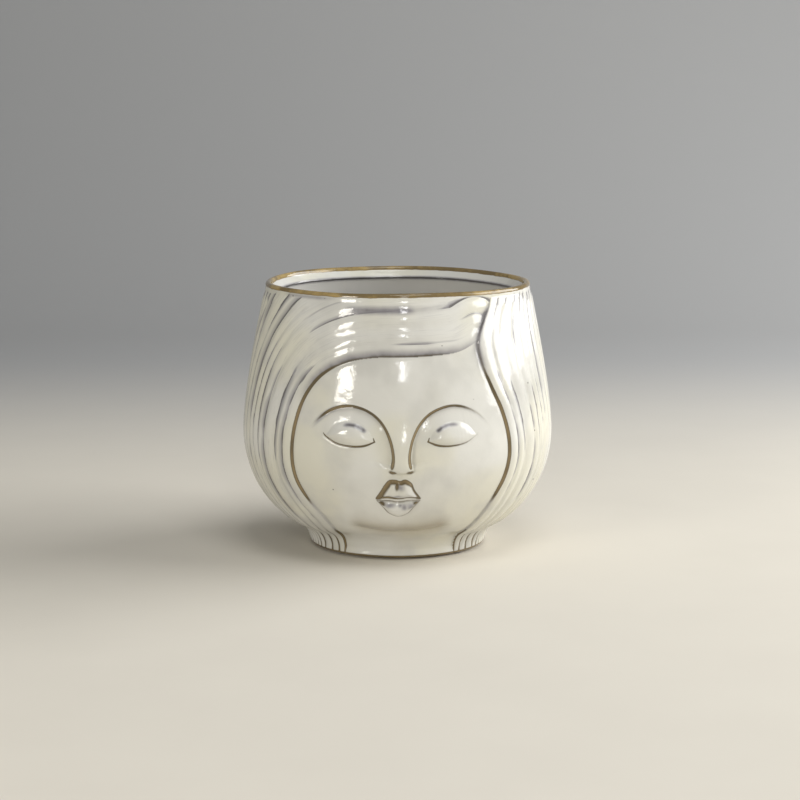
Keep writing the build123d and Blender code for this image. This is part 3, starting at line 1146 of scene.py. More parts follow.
@dataclass
class NodeSheet:
    """One node tree that is being drawn."""

    tree: bpy.types.NodeTree

    def node(self, kind: str, feeds: Optional[dict] = None, **settings: object) -> bpy.types.Node:
        """Adds a node with its settings and its inputs, by name or number."""
        node = self.tree.nodes.new(kind)
        for name, value in settings.items():
            setattr(node, name, value)
        for name, value in (feeds or {}).items():
            self.feed(node.inputs[name], value)
        return node

    def feed(self, socket: bpy.types.NodeSocket, value: Feed) -> None:
        """Links a socket to a wire or sets its value."""
        if isinstance(value, Wire):
            self.tree.links.new(value.socket, socket)
        else:
            socket.default_value = value

    def put(
        self, kind: str, feeds: Optional[dict] = None, out: Union[int, str] = 0, **settings: object
    ) -> Wire:
        """Adds a node and takes one of its outputs, by name or number."""
        return Wire(self, self.node(kind, feeds, **settings).outputs[out])

    def math(self, operation: str, first: Feed, second: Feed = 0.0) -> Wire:
        """Adds a calculation with two values."""
        return self.put("ShaderNodeMath", {0: first, 1: second}, operation=operation)

    def ramp(self, value: Feed, start: Feed, end: Feed) -> Wire:
        """Adds a smooth rise from 0 at start to 1 at end."""
        feeds = {"Value": value, "From Min": start, "From Max": end}
        return self.put("ShaderNodeMapRange", feeds, "Result", interpolation_type="SMOOTHSTEP")

    def blend(self, factor: Feed, first: Feed, second: Feed) -> Wire:
        """Adds a mix of two colours."""
        return self.put("ShaderNodeMix", {0: factor, 6: first, 7: second}, 2, data_type="RGBA")

    def noise(self, where: Feed, size: Feed, detail: float) -> Wire:
        """Adds a noise with blotches of a size in millimetres or of a scale that is fed in."""
        scale = 1.0 / (size * MM) if isinstance(size, float) else size
        return self.put("ShaderNodeTexNoise", {"Vector": where, "Scale": scale, "Detail": detail}, "Fac")

    def where(self) -> Wire:
        """Adds the place of a spot in the frame."""
        return self.put("ShaderNodeTexCoord", out="Object")

    def vector(self, **parts: Feed) -> Wire:
        """Adds a vector made of parts called x, y and z."""
        return self.put("ShaderNodeCombineXYZ", {name.upper(): value for name, value in parts.items()})

    def split(self, vector: Feed) -> list[Wire]:
        """Takes a vector apart."""
        return [Wire(self, part) for part in self.node("ShaderNodeSeparateXYZ", {0: vector}).outputs]

    def parts(self, attribute: str) -> list[Wire]:
        """Adds a vector attribute and takes it apart."""
        return self.split(self.put("ShaderNodeAttribute", out="Vector", attribute_name=attribute))

    def deliver(self, pieces: Sequence[Wire], material: Wire) -> bpy.types.NodeTree:
        """Joins geometry, makes its instances real, gives it a material and puts it out.

        Args:
            pieces: Geometry to join.
            material: Material of the whole.

        Returns:
            The finished tree.
        """
        joined = self.node("GeometryNodeJoinGeometry")
        for piece in pieces:
            self.feed(joined.inputs[0], piece)
        plain = self.put("GeometryNodeRealizeInstances", {"Geometry": Wire(self, joined.outputs[0])})
        dressed = self.put("GeometryNodeSetMaterial", {"Geometry": plain, "Material": material})
        self.node("NodeGroupOutput", {"Geometry": dressed})
        return self.tree


def new_group(
    name: str, kind: str, inputs: dict[str, str], outputs: dict[str, str]
) -> tuple[NodeSheet, dict[str, Wire]]:
    """Starts a node group.

    Args:
        name: Name of the group.
        kind: Kind of node tree.
        inputs: Kind of value of each named input.
        outputs: Kind of value of each named output.

    Returns:
        The sheet to draw on and the wires of the inputs.
    """
    sheet = NodeSheet(bpy.data.node_groups.new(name, kind))
    for way, sockets in (("INPUT", inputs), ("OUTPUT", outputs)):
        for item, value in sockets.items():
            sheet.tree.interface.new_socket(item, in_out=way, socket_type=f"NodeSocket{value}")
    given = sheet.node("NodeGroupInput").outputs
    return sheet, {item: Wire(sheet, given[item]) for item in inputs}


def geometry_group(name: str, inputs: dict[str, str]) -> tuple[NodeSheet, dict[str, Wire]]:
    """Starts a geometry node tree with named inputs besides the geometry that goes through it."""
    mesh = {"Geometry": "Geometry"}
    return new_group(name, "GeometryNodeTree", {**mesh, **inputs}, mesh)


def grain_group() -> bpy.types.NodeTree:
    """Shared effect of every finish: slow mottling of the tone and fine grain for the bump."""
    name = "mottle_and_grain"
    if name not in bpy.data.node_groups:
        inputs = {"Mottle Scale": "Float", "Grain Scale": "Float"}
        sheet, given = new_group(name, "ShaderNodeTree", inputs, {"Mottle": "Float", "Grain": "Float"})
        where = sheet.where()
        mottle = sheet.noise(where, given["Mottle Scale"], 3.0)
        grain = sheet.noise(where, given["Grain Scale"], 4.0)
        sheet.node("NodeGroupOutput", {"Mottle": mottle, "Grain": grain})
    return bpy.data.node_groups[name]


class MaterialSheet(NodeSheet):
    """Nodes of a new material, round its Principled shader."""

    def __init__(self, name: str) -> None:
        """Makes the material."""
        self.material = bpy.data.materials.new(name)
        self.material.use_nodes = True
        super().__init__(self.material.node_tree)

    def grained(self, mottle_mm: float, grain_mm: float) -> tuple[Wire, Wire]:
        """Places the shared grain and takes its mottle and its grain."""
        scales = {"Mottle Scale": 1.0 / (mottle_mm * MM), "Grain Scale": 1.0 / (grain_mm * MM)}
        made = self.node("ShaderNodeGroup", scales, node_tree=grain_group()).outputs
        return Wire(self, made["Mottle"]), Wire(self, made["Grain"])

    def bump(self, height: Wire, depth_mm: float, strength: float = 1.0) -> Wire:
        """Adds a bump of a depth from a height."""
        feeds = {"Strength": strength, "Distance": depth_mm * MM, "Height": height}
        return self.put("ShaderNodeBump", feeds, "Normal")

    def shaded(self, feeds: dict[str, Feed]) -> bpy.types.Material:
        """Feeds the shader's named inputs and returns the material."""
        shader = self.tree.nodes["Principled BSDF"]
        for name, value in feeds.items():
            self.feed(shader.inputs[name], value)
        return self.material


# Finishes


@dataclass(frozen=True)
class GlazeFinish:
    """Glossy off-white reactive glaze that thins to violet grey and breaks to gold brown on edges, with
    painted shade where the mesh marks it.
    """

    cream: Colour = (0.66, 0.65, 0.605, 1.0)
    ivory: Colour = (0.655, 0.635, 0.54, 1.0)
    shade: Colour = (0.55, 0.54, 0.50, 1.0)
    # Colour of the painted shade on the pot's inside.
    inside_shade: Colour = (0.62, 0.605, 0.565, 1.0)
    violet: Colour = (0.225, 0.215, 0.235, 1.0)
    dark: Colour = (0.085, 0.077, 0.07, 1.0)
    brown: Colour = (0.105, 0.08, 0.042, 1.0)
    olive: Colour = (0.25, 0.185, 0.095, 1.0)
    lip_brown: Colour = (0.18, 0.13, 0.058, 1.0)
    gold: Colour = (0.38, 0.275, 0.11, 1.0)
    # Colour of the painted warm shade under the chin.
    tan: Colour = (0.345, 0.30, 0.22, 1.0)
    clay: Colour = (0.56, 0.46, 0.35, 1.0)
    ior: float = 1.52
    gloss: float = 0.07
    mottle_rough: float = 0.05
    dash_rough: float = 0.12
    clay_rough: float = 0.85
    mottle_mm: float = 26.0
    grain_mm: float = 1.1
    blotch_mm: float = 5.0
    lump_mm: float = 11.0
    cloud_mm: float = 40.0
    speck_gap_mm: float = 12.7
    speck_r: float = 0.045
    speck: float = 0.8
    clouded: Span = (0.42, 0.62)
    shaded: Span = (0.42, 0.75)
    least_chin_shade: float = 0.35
    thin_and_shade_blotch: Span = (0.64, 0.68)
    violet_thin_and_shade: Span = (0.05, 0.85)
    violet_share: float = 0.85
    dark_thin_and_shade: Span = (0.7, 1.05)
    dark_share: float = 0.8
    line_blotch: Span = (0.4, 0.8)
    line_edge: Span = (0.2, 0.6)
    gilt_line: Span = (0.5, 0.95)
    gilt_mottle: Span = (0.3, 0.5)
    rim_wear: float = 0.7
    rim_edge: Span = (0.3, 0.6)
    gilt_rim: Span = (0.35, 0.9)
    gilt_blotch: float = 0.5
    gilt_patch: Span = (0.62, 0.9)
    strand_seed: float = 4.3
    side_seed: float = 2.4
    bristles: float = 13.0
    bristle_mm: float = 7.0
    streak_mm: float = 30.0
    root_from: float = 0.9
    root_gain: float = 0.5
    ragged_mm: float = 1.4
    sharp_mm: Span = (-0.5, 0.0)
    streak_patch: Span = (0.4, 0.68)
    streak_w_mm: float = 3.6
    streak_share: float = 0.8
    core_patch: Span = (0.5, 0.74)
    core_w_mm: float = 1.3
    core_share: float = 0.75
    stroke_end: Span = (0.05, 0.4)
    veiled: Span = (0.5, 0.8)
    veil_share: float = 0.22
    lump_high: float = 0.28
    grain_high: float = 0.018
    blotch_high: float = 0.11
    dash_deep: float = 0.12

    @staticmethod
    def trail(sheet: NodeSheet, along: Wire, length_mm: float, strand: Wire) -> Wire:
        """Noise that is drawn out along the strands to a length and differs from strand to strand."""
        spot = sheet.vector(x=sheet.math("DIVIDE", along, length_mm), y=strand)
        feeds = {"Vector": spot, "Scale": 1.0, "Detail": 2.0}
        return sheet.put("ShaderNodeTexNoise", feeds, "Fac", noise_dimensions="2D")

    def strokes(self, sheet: NodeSheet) -> list[Wire]:
        """Streaks that the glaze leaves where it thins along one side of each groove.

        Args:
            sheet: Sheet of the material.

        Returns:
            Masks of a faint brushed veil, the soft streaks and their dark cores.
        """
        phase, _, share = sheet.parts("strand")
        along, spread, _ = sheet.parts("run")
        number = sheet.math("ROUND", phase)
        side = sheet.math("SIGN", sheet.math("SINE", number * self.side_seed))
        rooted = sheet.math("MAXIMUM", share - self.root_from, 0.0) * self.root_gain
        share = sheet.math("MINIMUM", share, 1.0)
        patch = self.trail(sheet, along, self.streak_mm, number * self.strand_seed) + rooted
        brushed = self.trail(sheet, along, self.bristle_mm, phase * self.bristles)
        gap = (phase - number) * (spread * side) + (brushed - 0.5) * self.ragged_mm
        masks = [sheet.ramp(brushed, *self.veiled) * (share * self.veil_share)]
        for patchy, width in ((self.streak_patch, self.streak_w_mm), (self.core_patch, self.core_w_mm)):
            reach = sheet.ramp(patch, *patchy) * share
            fade = sheet.ramp(gap, reach * width, 0.0) * sheet.ramp(reach, *self.stroke_end)
            masks.append(fade * sheet.ramp(gap, *self.sharp_mm))
        return masks

    def material(self) -> bpy.types.Material:
        """Makes the glaze, which reads the marks and the painted shade that the pot's mesh carries."""
        sheet = MaterialSheet("reactive_glaze")
        where = sheet.where()
        # The second column carries glaze that thins and painted shade together.
        line, thin_and_shade, rim = sheet.parts("breaks")
        gilding = sheet.parts("run")[2]
        # The last two columns are painted shade: on the pot's inside and under the chin.
        bare, inside, tan = sheet.parts("ground")
        mottle, grain = sheet.grained(self.mottle_mm, self.grain_mm)
        blotch = sheet.noise(where, self.blotch_mm, 3.0)
        lumps = sheet.noise(where, self.lump_mm, 1.0)
        cloud = sheet.noise(where, self.cloud_mm, 1.0)
        speck_scale = 1.0 / (self.speck_gap_mm * MM)
        speck_gap = sheet.put("ShaderNodeTexVoronoi", {"Vector": where, "Scale": speck_scale}, "Distance")
        veil, streak, core = self.strokes(sheet)

        thinned_and_shaded = thin_and_shade * (blotch * self.thin_and_shade_blotch[0] + self.thin_and_shade_blotch[1])
        broken = line * (blotch * self.line_blotch[0] + self.line_blotch[1])
        golden = sheet.ramp(broken, *self.gilt_line) * sheet.ramp(mottle, *self.gilt_mottle) * gilding
        worn = rim + (blotch - 0.5) * self.rim_wear
        patchy = blotch * self.gilt_blotch + mottle
        gilt = sheet.ramp(patchy, *self.gilt_patch) * sheet.ramp(worn, *self.gilt_rim)
        layers = (
            (sheet.ramp(cloud, *self.clouded), self.ivory),
            (sheet.ramp(mottle, *self.shaded), self.shade),
            # Painted shade on the pot's inside.
            (inside, self.inside_shade),
            # Painted warm shade under the chin.
            (tan * (mottle + self.least_chin_shade), self.tan),
            # Glaze that thins and painted shade turn violet grey, and dark where strongest.
            (sheet.ramp(thinned_and_shaded, *self.violet_thin_and_shade) * self.violet_share, self.violet),
            (sheet.ramp(thinned_and_shaded, *self.dark_thin_and_shade) * self.dark_share, self.dark),
            (veil, self.violet),
            (streak * self.streak_share, self.violet),
            (core * self.core_share, self.dark),
            (sheet.ramp(broken, *self.line_edge), sheet.blend(golden, self.brown, self.olive)),
            (sheet.ramp(worn, *self.rim_edge), sheet.blend(gilt, self.lip_brown, self.gold)),
            (sheet.ramp(speck_gap, self.speck_r, self.speck_r / 2) * self.speck, self.dark),
            (bare, self.clay),
        )
        tone: Feed = self.cream
        for mask, colour in layers:
            tone = sheet.blend(mask, tone, colour)
        rough = core * self.dash_rough + mottle * self.mottle_rough + bare * self.clay_rough + self.gloss
        raised = lumps * self.lump_high + grain * self.grain_high + blotch * self.blotch_high
        return sheet.shaded(
            {
                "Base Color": tone,
                "Roughness": sheet.math("MINIMUM", rough, 1.0),
                "Normal": sheet.bump(raised - core * self.dash_deep, 1.0),
                "IOR": self.ior,
            }
        )


@dataclass(frozen=True)
class SiliconeFinish:
    """Matt grey silicone with a faint bloom."""

    grey: Colour = (0.26, 0.255, 0.235, 1.0)
    bloom: Colour = (0.37, 0.365, 0.34, 1.0)
    bloomed: Span = (0.35, 0.7)
    mottle_mm: float = 4.0
    grain_mm: float = 0.25
    grain_depth_mm: float = 0.05
    grain_strength: float = 0.6
    rough: float = 0.48
    grain_rough: float = 0.25
    subsurface: float = 0.05
    subsurface_radius: Triple = (0.001, 0.0009, 0.0008)

    def material(self) -> bpy.types.Material:
        """Makes the silicone."""
        sheet = MaterialSheet("grey_silicone")
        mottle, grain = sheet.grained(self.mottle_mm, self.grain_mm)
        return sheet.shaded(
            {
                "Base Color": sheet.blend(sheet.ramp(mottle, *self.bloomed), self.grey, self.bloom),
                "Roughness": grain * self.grain_rough + self.rough,
                "Normal": sheet.bump(grain, self.grain_depth_mm, self.grain_strength),
                "Subsurface Weight": self.subsurface,
                "Subsurface Radius": self.subsurface_radius,
            }
        )


@dataclass(frozen=True)
class FeltFinish:
    """Pressed grey-brown felt."""

    wool: Colour = (0.15, 0.13, 0.105, 1.0)
    pale: Colour = (0.27, 0.24, 0.20, 1.0)
    paled: Span = (0.35, 0.7)
    mottle_mm: float = 0.5
    grain_mm: float = 0.12
    grain_depth_mm: float = 0.15
    rough: float = 0.95
    sheen: float = 0.4
    sheen_rough: float = 0.6

    def material(self) -> bpy.types.Material:
        """Makes the felt."""
        sheet = MaterialSheet("pressed_felt")
        mottle, grain = sheet.grained(self.mottle_mm, self.grain_mm)
        return sheet.shaded(
            {
                "Base Color": sheet.blend(sheet.ramp(mottle, *self.paled), self.wool, self.pale),
                "Roughness": self.rough,
                "Normal": sheet.bump(grain, self.grain_depth_mm),
                "Sheen Weight": self.sheen,
                "Sheen Roughness": self.sheen_rough,
            }
        )


@dataclass(frozen=True)
class StageFinish:
    """Plain pale paper under the object that turns grey behind it."""

    pale: Colour = (0.70, 0.66, 0.575, 1.0)
    shade: Colour = (0.66, 0.62, 0.54, 1.0)
    grey: Colour = (0.40, 0.40, 0.395, 1.0)
    grey_y: Span = (0.12, 0.70)
    mottle_mm: float = 60.0
    grain_mm: float = 1.0
    rough: float = 0.9

    def material(self) -> bpy.types.Material:
        """Makes the paper."""
        sheet = MaterialSheet("stage_paper")
        mottle, _ = sheet.grained(self.mottle_mm, self.grain_mm)
        _, back, _ = sheet.split(sheet.where())
        tone = sheet.blend(mottle, self.pale, self.shade)
        tone = sheet.blend(sheet.ramp(back, *self.grey_y), tone, self.grey)
        return sheet.shaded({"Base Color": tone, "Roughness": self.rough})


# Pieces


@dataclass
class Pot:
    """The glazed pot."""

    columns: int = 208
    front: float = math.radians(76.0)
    mark_weight: float = 0.09
    flute_depth: float = 0.8
    flute_power: float = 1.5
    wobble: float = 0.3
    wobble_z: Span = (95.0, 136.0)
    sway_waves: Sequence[Triple] = ((1.0, 2.0, 0.8), (0.6, 3.0, 2.0))
    lift_waves: Sequence[Triple] = ((1.0, 2.0, 1.2), (0.5, 5.0, 0.4))
    rim_from: Span = (0.9, 0.8)
    rim_full: float = 0.4
    # Painted shade under the collar's ledge inside the mouth: its width and strength.
    undercut_w: float = 0.9
    undercut_dark: float = 1.25
    # Painted shade on the inside starts this far below the collar.
    inside_from: float = 0.5
    foot_line: float = 0.8
    foot_line_z: Span = (2.6, 1.6)
    foot_line_in: Span = (3.0, 1.4)
    bare_z: Span = (1.6, 1.05)
    bare_in: Span = (0.6, 1.2)
    outline: PotOutline = field(default_factory=PotOutline)
    finish: GlazeFinish = field(default_factory=GlazeFinish)

    def __post_init__(self) -> None:
        """Lays the relief over the outline."""
        self.relief = PotRelief(self.outline)

    def cells(self) -> tuple[Array, Array, Faces]:
        """Angles and places of the vertices, and the polygons."""
        rows = self.outline.rows()
        tree = CellTree(len(rows) - 1, self.columns, self.outline.outer_step)
        parts = 1 << tree.levels
        fine = np.interp(np.arange(tree.rows * parts) / parts, np.arange(len(rows)), rows)
        angles = -math.pi + 2 * math.pi * np.arange(self.columns * parts) / (self.columns * parts)
        outer = np.nonzero(fine < self.outline.rim_at)[0]
        ahead = np.nonzero(np.abs(angles) < self.front)[0]
        marks = self.relief.marks(*np.meshgrid(angles[ahead], fine[outer]))
        gauge = self.outline.outer_step / parts
        of_form = self.bend(marks.height, gauge)
        of_marks = self.bend(self.mark_weight * (marks.line + marks.thin_and_shade), gauge)
        bend = np.zeros((len(fine), len(angles)))
        bend[np.ix_(outer, ahead)] = np.maximum(of_form, of_marks)
        always = np.zeros((tree.rows, tree.columns), dtype=bool)
        always[: int(np.searchsorted(rows, self.outline.rim_at))] = True
        row, column, faces = tree.polygons(tree.split(bend, always))
        return angles[column], fine[row], faces

    @staticmethod
    def bend(values: Array, gauge: float) -> Array:
        """Largest second difference of a field both ways, per square millimetre."""
        down = np.zeros_like(values)
        along = np.zeros_like(values)
        down[1:-1] = values[2:] - 2 * values[1:-1] + values[:-2]
        along[:, 1:-1] = values[:, 2:] - 2 * values[:, 1:-1] + values[:, :-2]
        return np.maximum(np.abs(down), np.abs(along)) / gauge**2

    @staticmethod
    def waves(angle: Array, waves: Sequence[Triple]) -> Array:
        """Sum of waves round the rim, each with its size, its number and its start."""
        return sum(size * np.sin(count * angle + start) for size, count, start in waves)

    def flute_tree(self) -> bpy.types.NodeTree:
        """Geometry node tree that sinks the grooves between the strands into the hair."""
        sheet, given = geometry_group("hair_flutes", {"Depth": "Float", "Glaze": "Material"})
        read = {"Name": "strand"}
        strand = sheet.put("GeometryNodeInputNamedAttribute", read, "Attribute", data_type="FLOAT_VECTOR")
        phase, flute, _ = sheet.split(strand)
        wave = sheet.math("COSINE", phase * (2 * math.pi))
        valley = sheet.math("POWER", (wave + 1.0) * 0.5, self.flute_power)
        sink = valley * flute * (given["Depth"] * -1.0)
        normal = sheet.put("GeometryNodeInputNormal", out="Normal")
        offset = sheet.put("ShaderNodeVectorMath", {0: normal, "Scale": sink}, operation="SCALE")
        moved = sheet.put("GeometryNodeSetPosition", {"Geometry": given["Geometry"], "Offset": offset})
        return sheet.deliver([moved], given["Glaze"])

    def build(self) -> Thing:
        """Builds and dresses the pot."""
        form = self.outline
        angle, place, faces = self.cells()
        r, z, out_r, out_z = form.at(place)
        outside = place < form.rim_at
        inside = place > form.rim_at
        marks = self.relief.marks(angle[outside], place[outside]).among(outside)
        wobble = self.wobble * ramp(z, *self.wobble_z)
        around = r + marks.height * out_r + wobble * self.waves(angle, self.sway_waves)
        up = z + marks.height * out_z + wobble * self.waves(angle, self.lift_waves)
        spots = np.column_stack([around * np.sin(angle), -around * np.cos(angle), up])
        piece = new_piece("pot_glazed", spots, faces)

        rim = ramp(z, form.rim_z - np.where(outside, *self.rim_from), form.rim_z + self.rim_full)
        # Painted shade under the collar's ledge inside the mouth, carried with the glaze that thins.
        undercut_shade = self.undercut_dark * bell(z - form.collar_z, self.undercut_w) * inside
        foot_line = self.foot_line * ramp(z, *self.foot_line_z)
        foot_line *= ramp(form.foot_r - r, *self.foot_line_in)
        bare = ramp(z, *self.bare_z) * ramp(form.foot_r - r, *self.bare_in)
        # Painted shade on the inside below the collar.
        inside_shade = inside & (z < form.collar_z - self.inside_from)
        # The second column holds glaze that thins and painted shade.
        add_vectors(piece, "breaks", np.maximum(marks.line, foot_line), np.maximum(marks.thin_and_shade, undercut_shade), rim)
        add_vectors(piece, "strand", marks.phase, marks.flute, marks.dash)
        add_vectors(piece, "run", marks.along, marks.spread, marks.gilt)
        add_vectors(piece, "ground", bare, inside_shade, marks.tan)
        values = {"Depth": self.flute_depth * MM, "Glaze": self.finish.material()}
        apply_tree(piece, self.flute_tree(), values)
        dress(piece, Body.PLANTER, "pot")
        return piece


@dataclass
class DrainPlug:
    """Soft stopper in the drain hole, with ribs on the knob that it is pulled by."""

    columns: int = 96
    stem_end_z: float = 3.5
    stem_end_r: float = 7.2
    stem_top_r: float = 7.8
    floor_z: float = 12.5
    flange_r: float = 12.0
    flange_top_z: float = 14.5
    neck_r: float = 3.2
    neck_top_z: float = 17.9
    knob_r: float = 4.6
    knob_wide_z: float = 19.3
    knob_top_z: float = 22.5
    dimple: float = 0.6
    dimple_r: float = 1.2
    dimple_edge_r: float = 2.4
    roundings: Sequence[float] = (0.0, 0.6, 0.8, 1.1, 1.0, 0.6, 0.9, 0.7, 0.4, 0.3, 0.7, 0.0)
    rib_count: int = 20
    rib_r: float = 0.32
    rib_half_h: float = 1.0
    rib_sunk: float = 0.12
    rib_up: float = 1.25
    bead_steps: int = 8
    finish: SiliconeFinish = field(default_factory=SiliconeFinish)

    def line(self) -> Array:
        """Outline from the middle of the knob's dimple down to the middle of the stem's end."""
        dimple_z = self.knob_top_z - self.dimple
        points = [
            (0.0, dimple_z), (self.dimple_r, dimple_z), (self.dimple_edge_r, self.knob_top_z),
            (self.knob_r, self.knob_top_z), (self.knob_r, self.knob_wide_z), (self.neck_r, self.neck_top_z),
            (self.neck_r, self.flange_top_z), (self.flange_r, self.flange_top_z),
            (self.flange_r, self.floor_z), (self.stem_top_r, self.floor_z),
            (self.stem_end_r, self.stem_end_z), (0.0, self.stem_end_z),
        ]
        return rounded([(r, z, cut) for (r, z), cut in zip(points, self.roundings)], closed=False)

    def sizes(self) -> dict[str, float]:
        """Sizes of the ribs in metres, by the names of the tree's inputs."""
        return {
            "Ring Radius": (self.knob_r - self.rib_sunk) * MM,
            "Ring Height": (self.knob_wide_z + self.rib_up) * MM,
            "Rib Radius": self.rib_r * MM,
            "Rib Half Height": self.rib_half_h * MM,
        }

    def rib_tree(self) -> bpy.types.NodeTree:
        """Geometry node tree that sets upright ribs round the knob."""
        inputs = {"Count": "Int", **dict.fromkeys(self.sizes(), "Float"), "Silicone": "Material"}
        sheet, given = geometry_group("knob_ribs", inputs)
        ring_size = {"Vertices": given["Count"], "Radius": given["Ring Radius"]}
        ring = sheet.put("GeometryNodeMeshCircle", ring_size)
        level = sheet.vector(z=given["Ring Height"])
        lifted = sheet.put("GeometryNodeTransform", {"Geometry": ring, "Translation": level})
        bead_size = {"Segments": self.bead_steps, "Rings": self.bead_steps, "Radius": 1.0}
        bead = sheet.put("GeometryNodeMeshUVSphere", bead_size)
        scale = sheet.vector(x=given["Rib Radius"], y=given["Rib Radius"], z=given["Rib Half Height"])
        ribs = sheet.put("GeometryNodeInstanceOnPoints", {"Points": lifted, "Instance": bead, "Scale": scale})
        return sheet.deliver([ribs, given["Geometry"]], given["Silicone"])

    def build(self) -> Thing:
        """Builds and dresses the plug."""
        piece = new_piece("plug_moulded", *turned_mesh(self.line(), self.columns))
        values = {"Count": self.rib_count, **self.sizes(), "Silicone": self.finish.material()}
        apply_tree(piece, self.rib_tree(), values)
        dress(piece, Body.PLUG, "drain_plug")
        return piece


@dataclass
class FeltFeet:
    """Stick-on felt discs under the foot ring."""

    nodes: Sequence[str] = ("felt_foot_1", "felt_foot_2", "felt_foot_3", "felt_foot_4")
    columns: int = 40
    inset: float = 0.1
    bulge: float = 0.12
    edge: float = 0.3
    fill: float = 0.9
    fibre_length: float = 0.55
    fibre_r: float = 0.018
    fibres_per_mm2: float = 9.0
    fibre_steps: int = 4
    fibre_sides: int = 3
    most_spin: Triple = (6.28, 6.28, 6.28)
    upright_below: float = 0.5
    finish: FeltFinish = field(default_factory=FeltFinish)

    def sizes(self) -> dict[str, float]:
        """Sizes of the fibres in metres, by the names of the tree's inputs."""
        return {
            "Density": self.fibres_per_mm2 / MM**2,
            "Fibre Length": self.fibre_length * MM,
            "Fibre Radius": self.fibre_r * MM,
            "Lowest": self.fibre_length * MM,
        }

    def fibre_tree(self) -> bpy.types.NodeTree:
        """Geometry node tree that lays loose fibres on the rim of a felt disc."""
        inputs = {**dict.fromkeys(self.sizes(), "Float"), "Seed": "Int", "Felt": "Material"}
        sheet, given = geometry_group("felt_fibres", inputs)
        height = sheet.split(sheet.put("GeometryNodeInputPosition"))[2]
        facing = sheet.split(sheet.put("GeometryNodeInputNormal"))[2]
        upright = sheet.math("LESS_THAN", sheet.math("ABSOLUTE", facing), self.upright_below)
        chosen = upright * sheet.math("GREATER_THAN", height, given["Lowest"])
        feeds = {"Selection": chosen, "Density": given["Density"], "Seed": given["Seed"]}
        feeds["Mesh"] = given["Geometry"]
        points = sheet.put("GeometryNodeDistributePointsOnFaces", feeds, "Points")
        bow = sheet.vector(y=given["Fibre Length"])
        reach = sheet.vector(x=given["Fibre Length"])
        feeds = {"Resolution": self.fibre_steps, "Start": (0.0, 0.0, 0.0), "Middle": bow, "End": reach}
        bent = sheet.put("GeometryNodeCurveQuadraticBezier", feeds)
        feeds = {"Resolution": self.fibre_sides, "Radius": given["Fibre Radius"]}
        thread = sheet.put("GeometryNodeCurvePrimitiveCircle", feeds)
        tube = sheet.put("GeometryNodeCurveToMesh", {"Curve": bent, "Profile Curve": thread})
        feeds = {0: (0.0, 0.0, 0.0), 1: self.most_spin, "Seed": given["Seed"]}
        spin = sheet.put("FunctionNodeRandomValue", feeds, data_type="FLOAT_VECTOR")
        feeds = {"Points": points, "Instance": tube, "Rotation": spin}
        fibres = sheet.put("GeometryNodeInstanceOnPoints", feeds)
        return sheet.deliver([fibres, given["Geometry"]], given["Felt"])

    def build(self) -> list[Thing]:
        """Builds and dresses the discs, each in the place of its solid."""
        felt = self.finish.material()
        tree = self.fibre_tree()
        pieces: list[Thing] = []
        for number, node in enumerate(self.nodes, start=1):
            low, high = (Vector(corner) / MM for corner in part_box(node))
            middle = (low + high) / 2
            radius = (high.x - low.x) / 2
            corners = [
                (0.0, high.z, 0.0),
                (radius - self.inset, high.z, self.edge),
                (radius + self.bulge - self.inset, middle.z, self.edge),
                (radius, low.z, self.edge),
                (0.0, low.z, 0.0),
            ]
            vertices, faces = turned_mesh(rounded(corners, closed=False), self.columns)
            piece = new_piece(f"felt_disc_{number}", vertices + np.array([middle.x, middle.y, 0.0]), faces)
            apply_tree(piece, tree, {**self.sizes(), "Seed": number, "Felt": felt})
            dress(piece, Body.PLANTER, node)
            pieces.append(piece)
        return pieces


# Studio


@dataclass(frozen=True)
class Softbox:
    """One soft lamp, placed by its angle from the camera's side, its height and its distance."""

    name: str
    azimuth_deg: float
    height: float
    away: float
    size: Point
    watts: float
    tint: Triple = (1.0, 1.0, 1.0)
    mirrored: bool = True

    def hang(self, aim_z: float) -> None:
        """Hangs the lamp so that it looks at a height on the pot's axis."""
        light = bpy.data.lights.new(self.name, "AREA")
        light.shape = "RECTANGLE"
        light.size = self.size[0] * MM
        light.size_y = self.size[1] * MM
        light.energy = self.watts
        light.color = self.tint
        lamp = bpy.data.objects.new(self.name, light)
        turn = math.radians(self.azimuth_deg)
        lamp.location = Vector((self.away * math.sin(turn), -self.away * math.cos(turn), self.height)) * MM
        aim = Vector((0.0, 0.0, aim_z)) * MM - lamp.location
        lamp.rotation_euler = aim.to_track_quat("-Z", "Y").to_euler()
        lamp.visible_glossy = self.mirrored
        bpy.context.scene.collection.objects.link(lamp)


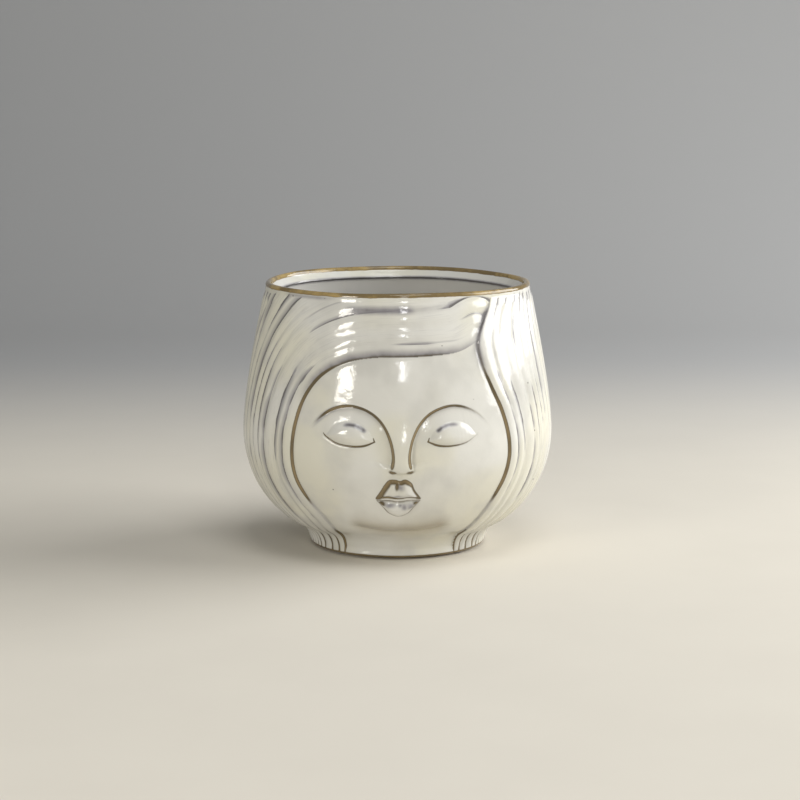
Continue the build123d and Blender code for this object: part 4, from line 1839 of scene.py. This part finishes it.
@dataclass
class Studio:
    """Pale paper sweep, soft lamps and the camera."""

    sweep_half_w: float = 2600.0
    sweep_front: float = -2600.0
    sweep_back: float = 1500.0
    sweep_top: float = 2600.0
    sweep_round: float = 700.0
    sweep_points: int = 25
    world: Colour = (0.80, 0.82, 0.85, 1.0)
    world_strength: float = 0.28
    warm: Triple = (1.0, 0.96, 0.87)
    aim_z: float = 70.0
    sensor: float = 36.0
    lens: float = 95.04
    camera_distance: float = 1082.0
    camera_height: float = 254.0
    camera_aside: float = 1.3
    camera_turn_deg: float = -1.45
    camera_dip_deg: float = 9.44
    finish: StageFinish = field(default_factory=StageFinish)

    def lamps(self) -> list[Softbox]:
        """Lamps of the studio, of which the low card doesn't show in the glaze."""
        return [
            Softbox("softbox_left", -43.0, 300.0, 1150.0, (230.0, 290.0), 3.6, self.warm),
            Softbox("strip_front", 4.0, 480.0, 1250.0, (95.0, 210.0), 1.1),
            Softbox("softbox_right", 98.0, 620.0, 1250.0, (1400.0, 1000.0), 26.0),
            Softbox("softbox_top", 15.0, 1300.0, 560.0, (600.0, 600.0), 4.6),
            Softbox("card_low", 38.0, 40.0, 900.0, (1300.0, 60.0), 1.35, self.warm, mirrored=False),
        ]

    def sweep(self) -> None:
        """Lays the paper floor that curves up into the backdrop."""
        centre = (self.sweep_back - self.sweep_round, self.sweep_round)
        bend = [(y, z) for y, z, _ in arc(centre, self.sweep_round, -90.0, 0.0, self.sweep_points)]
        line = np.array([(self.sweep_front, 0.0), *bend, (self.sweep_back, self.sweep_top)])
        count = len(line)
        sides = [np.column_stack([np.full(count, x), line]) for x in (-self.sweep_half_w, self.sweep_half_w)]
        faces = [[k, count + k, count + k + 1, k + 1] for k in range(count - 1)]
        paper = new_piece("paper_sweep", np.vstack(sides), faces)
        paper.data.materials.append(self.finish.material())

    def camera(self) -> None:
        """Sets up the camera at the viewing angle."""
        view = bpy.data.cameras.new("camera")
        view.lens = self.lens
        view.sensor_width = self.sensor
        view.sensor_fit = "HORIZONTAL"
        holder = bpy.data.objects.new("camera", view)
        turn = Euler((0.0, 0.0, math.radians(self.camera_turn_deg)))
        spot = Vector((self.camera_aside, -self.camera_distance, self.camera_height)) * MM
        spot.rotate(turn)
        holder.location = spot
        holder.rotation_euler = (math.radians(90.0 - self.camera_dip_deg), 0.0, turn.z)
        bpy.context.scene.collection.objects.link(holder)
        bpy.context.scene.camera = holder

    def build(self) -> None:
        """Sets up the stage, the light and the camera."""
        self.sweep()
        world = bpy.data.worlds.new("studio")
        world.use_nodes = True
        sky = world.node_tree.nodes["Background"]
        sky.inputs["Color"].default_value = self.world
        sky.inputs["Strength"].default_value = self.world_strength
        bpy.context.scene.world = world
        for lamp in self.lamps():
            lamp.hang(self.aim_z)
        self.camera()
        bpy.context.scene.view_settings.view_transform = "Standard"


def main() -> None:
    """Builds every piece and the studio, and logs how many triangles each piece has."""
    logging.basicConfig(level=logging.INFO, format="%(name)s: %(message)s")
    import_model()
    Studio().build()
    pieces = [Pot().build(), DrainPlug().build(), *FeltFeet().build()]
    for piece in pieces:
        piece.data.calc_loop_triangles()
        LOG.info("%s: %d triangles", piece.name, len(piece.data.loop_triangles))


if __name__ == "__main__":
    main()
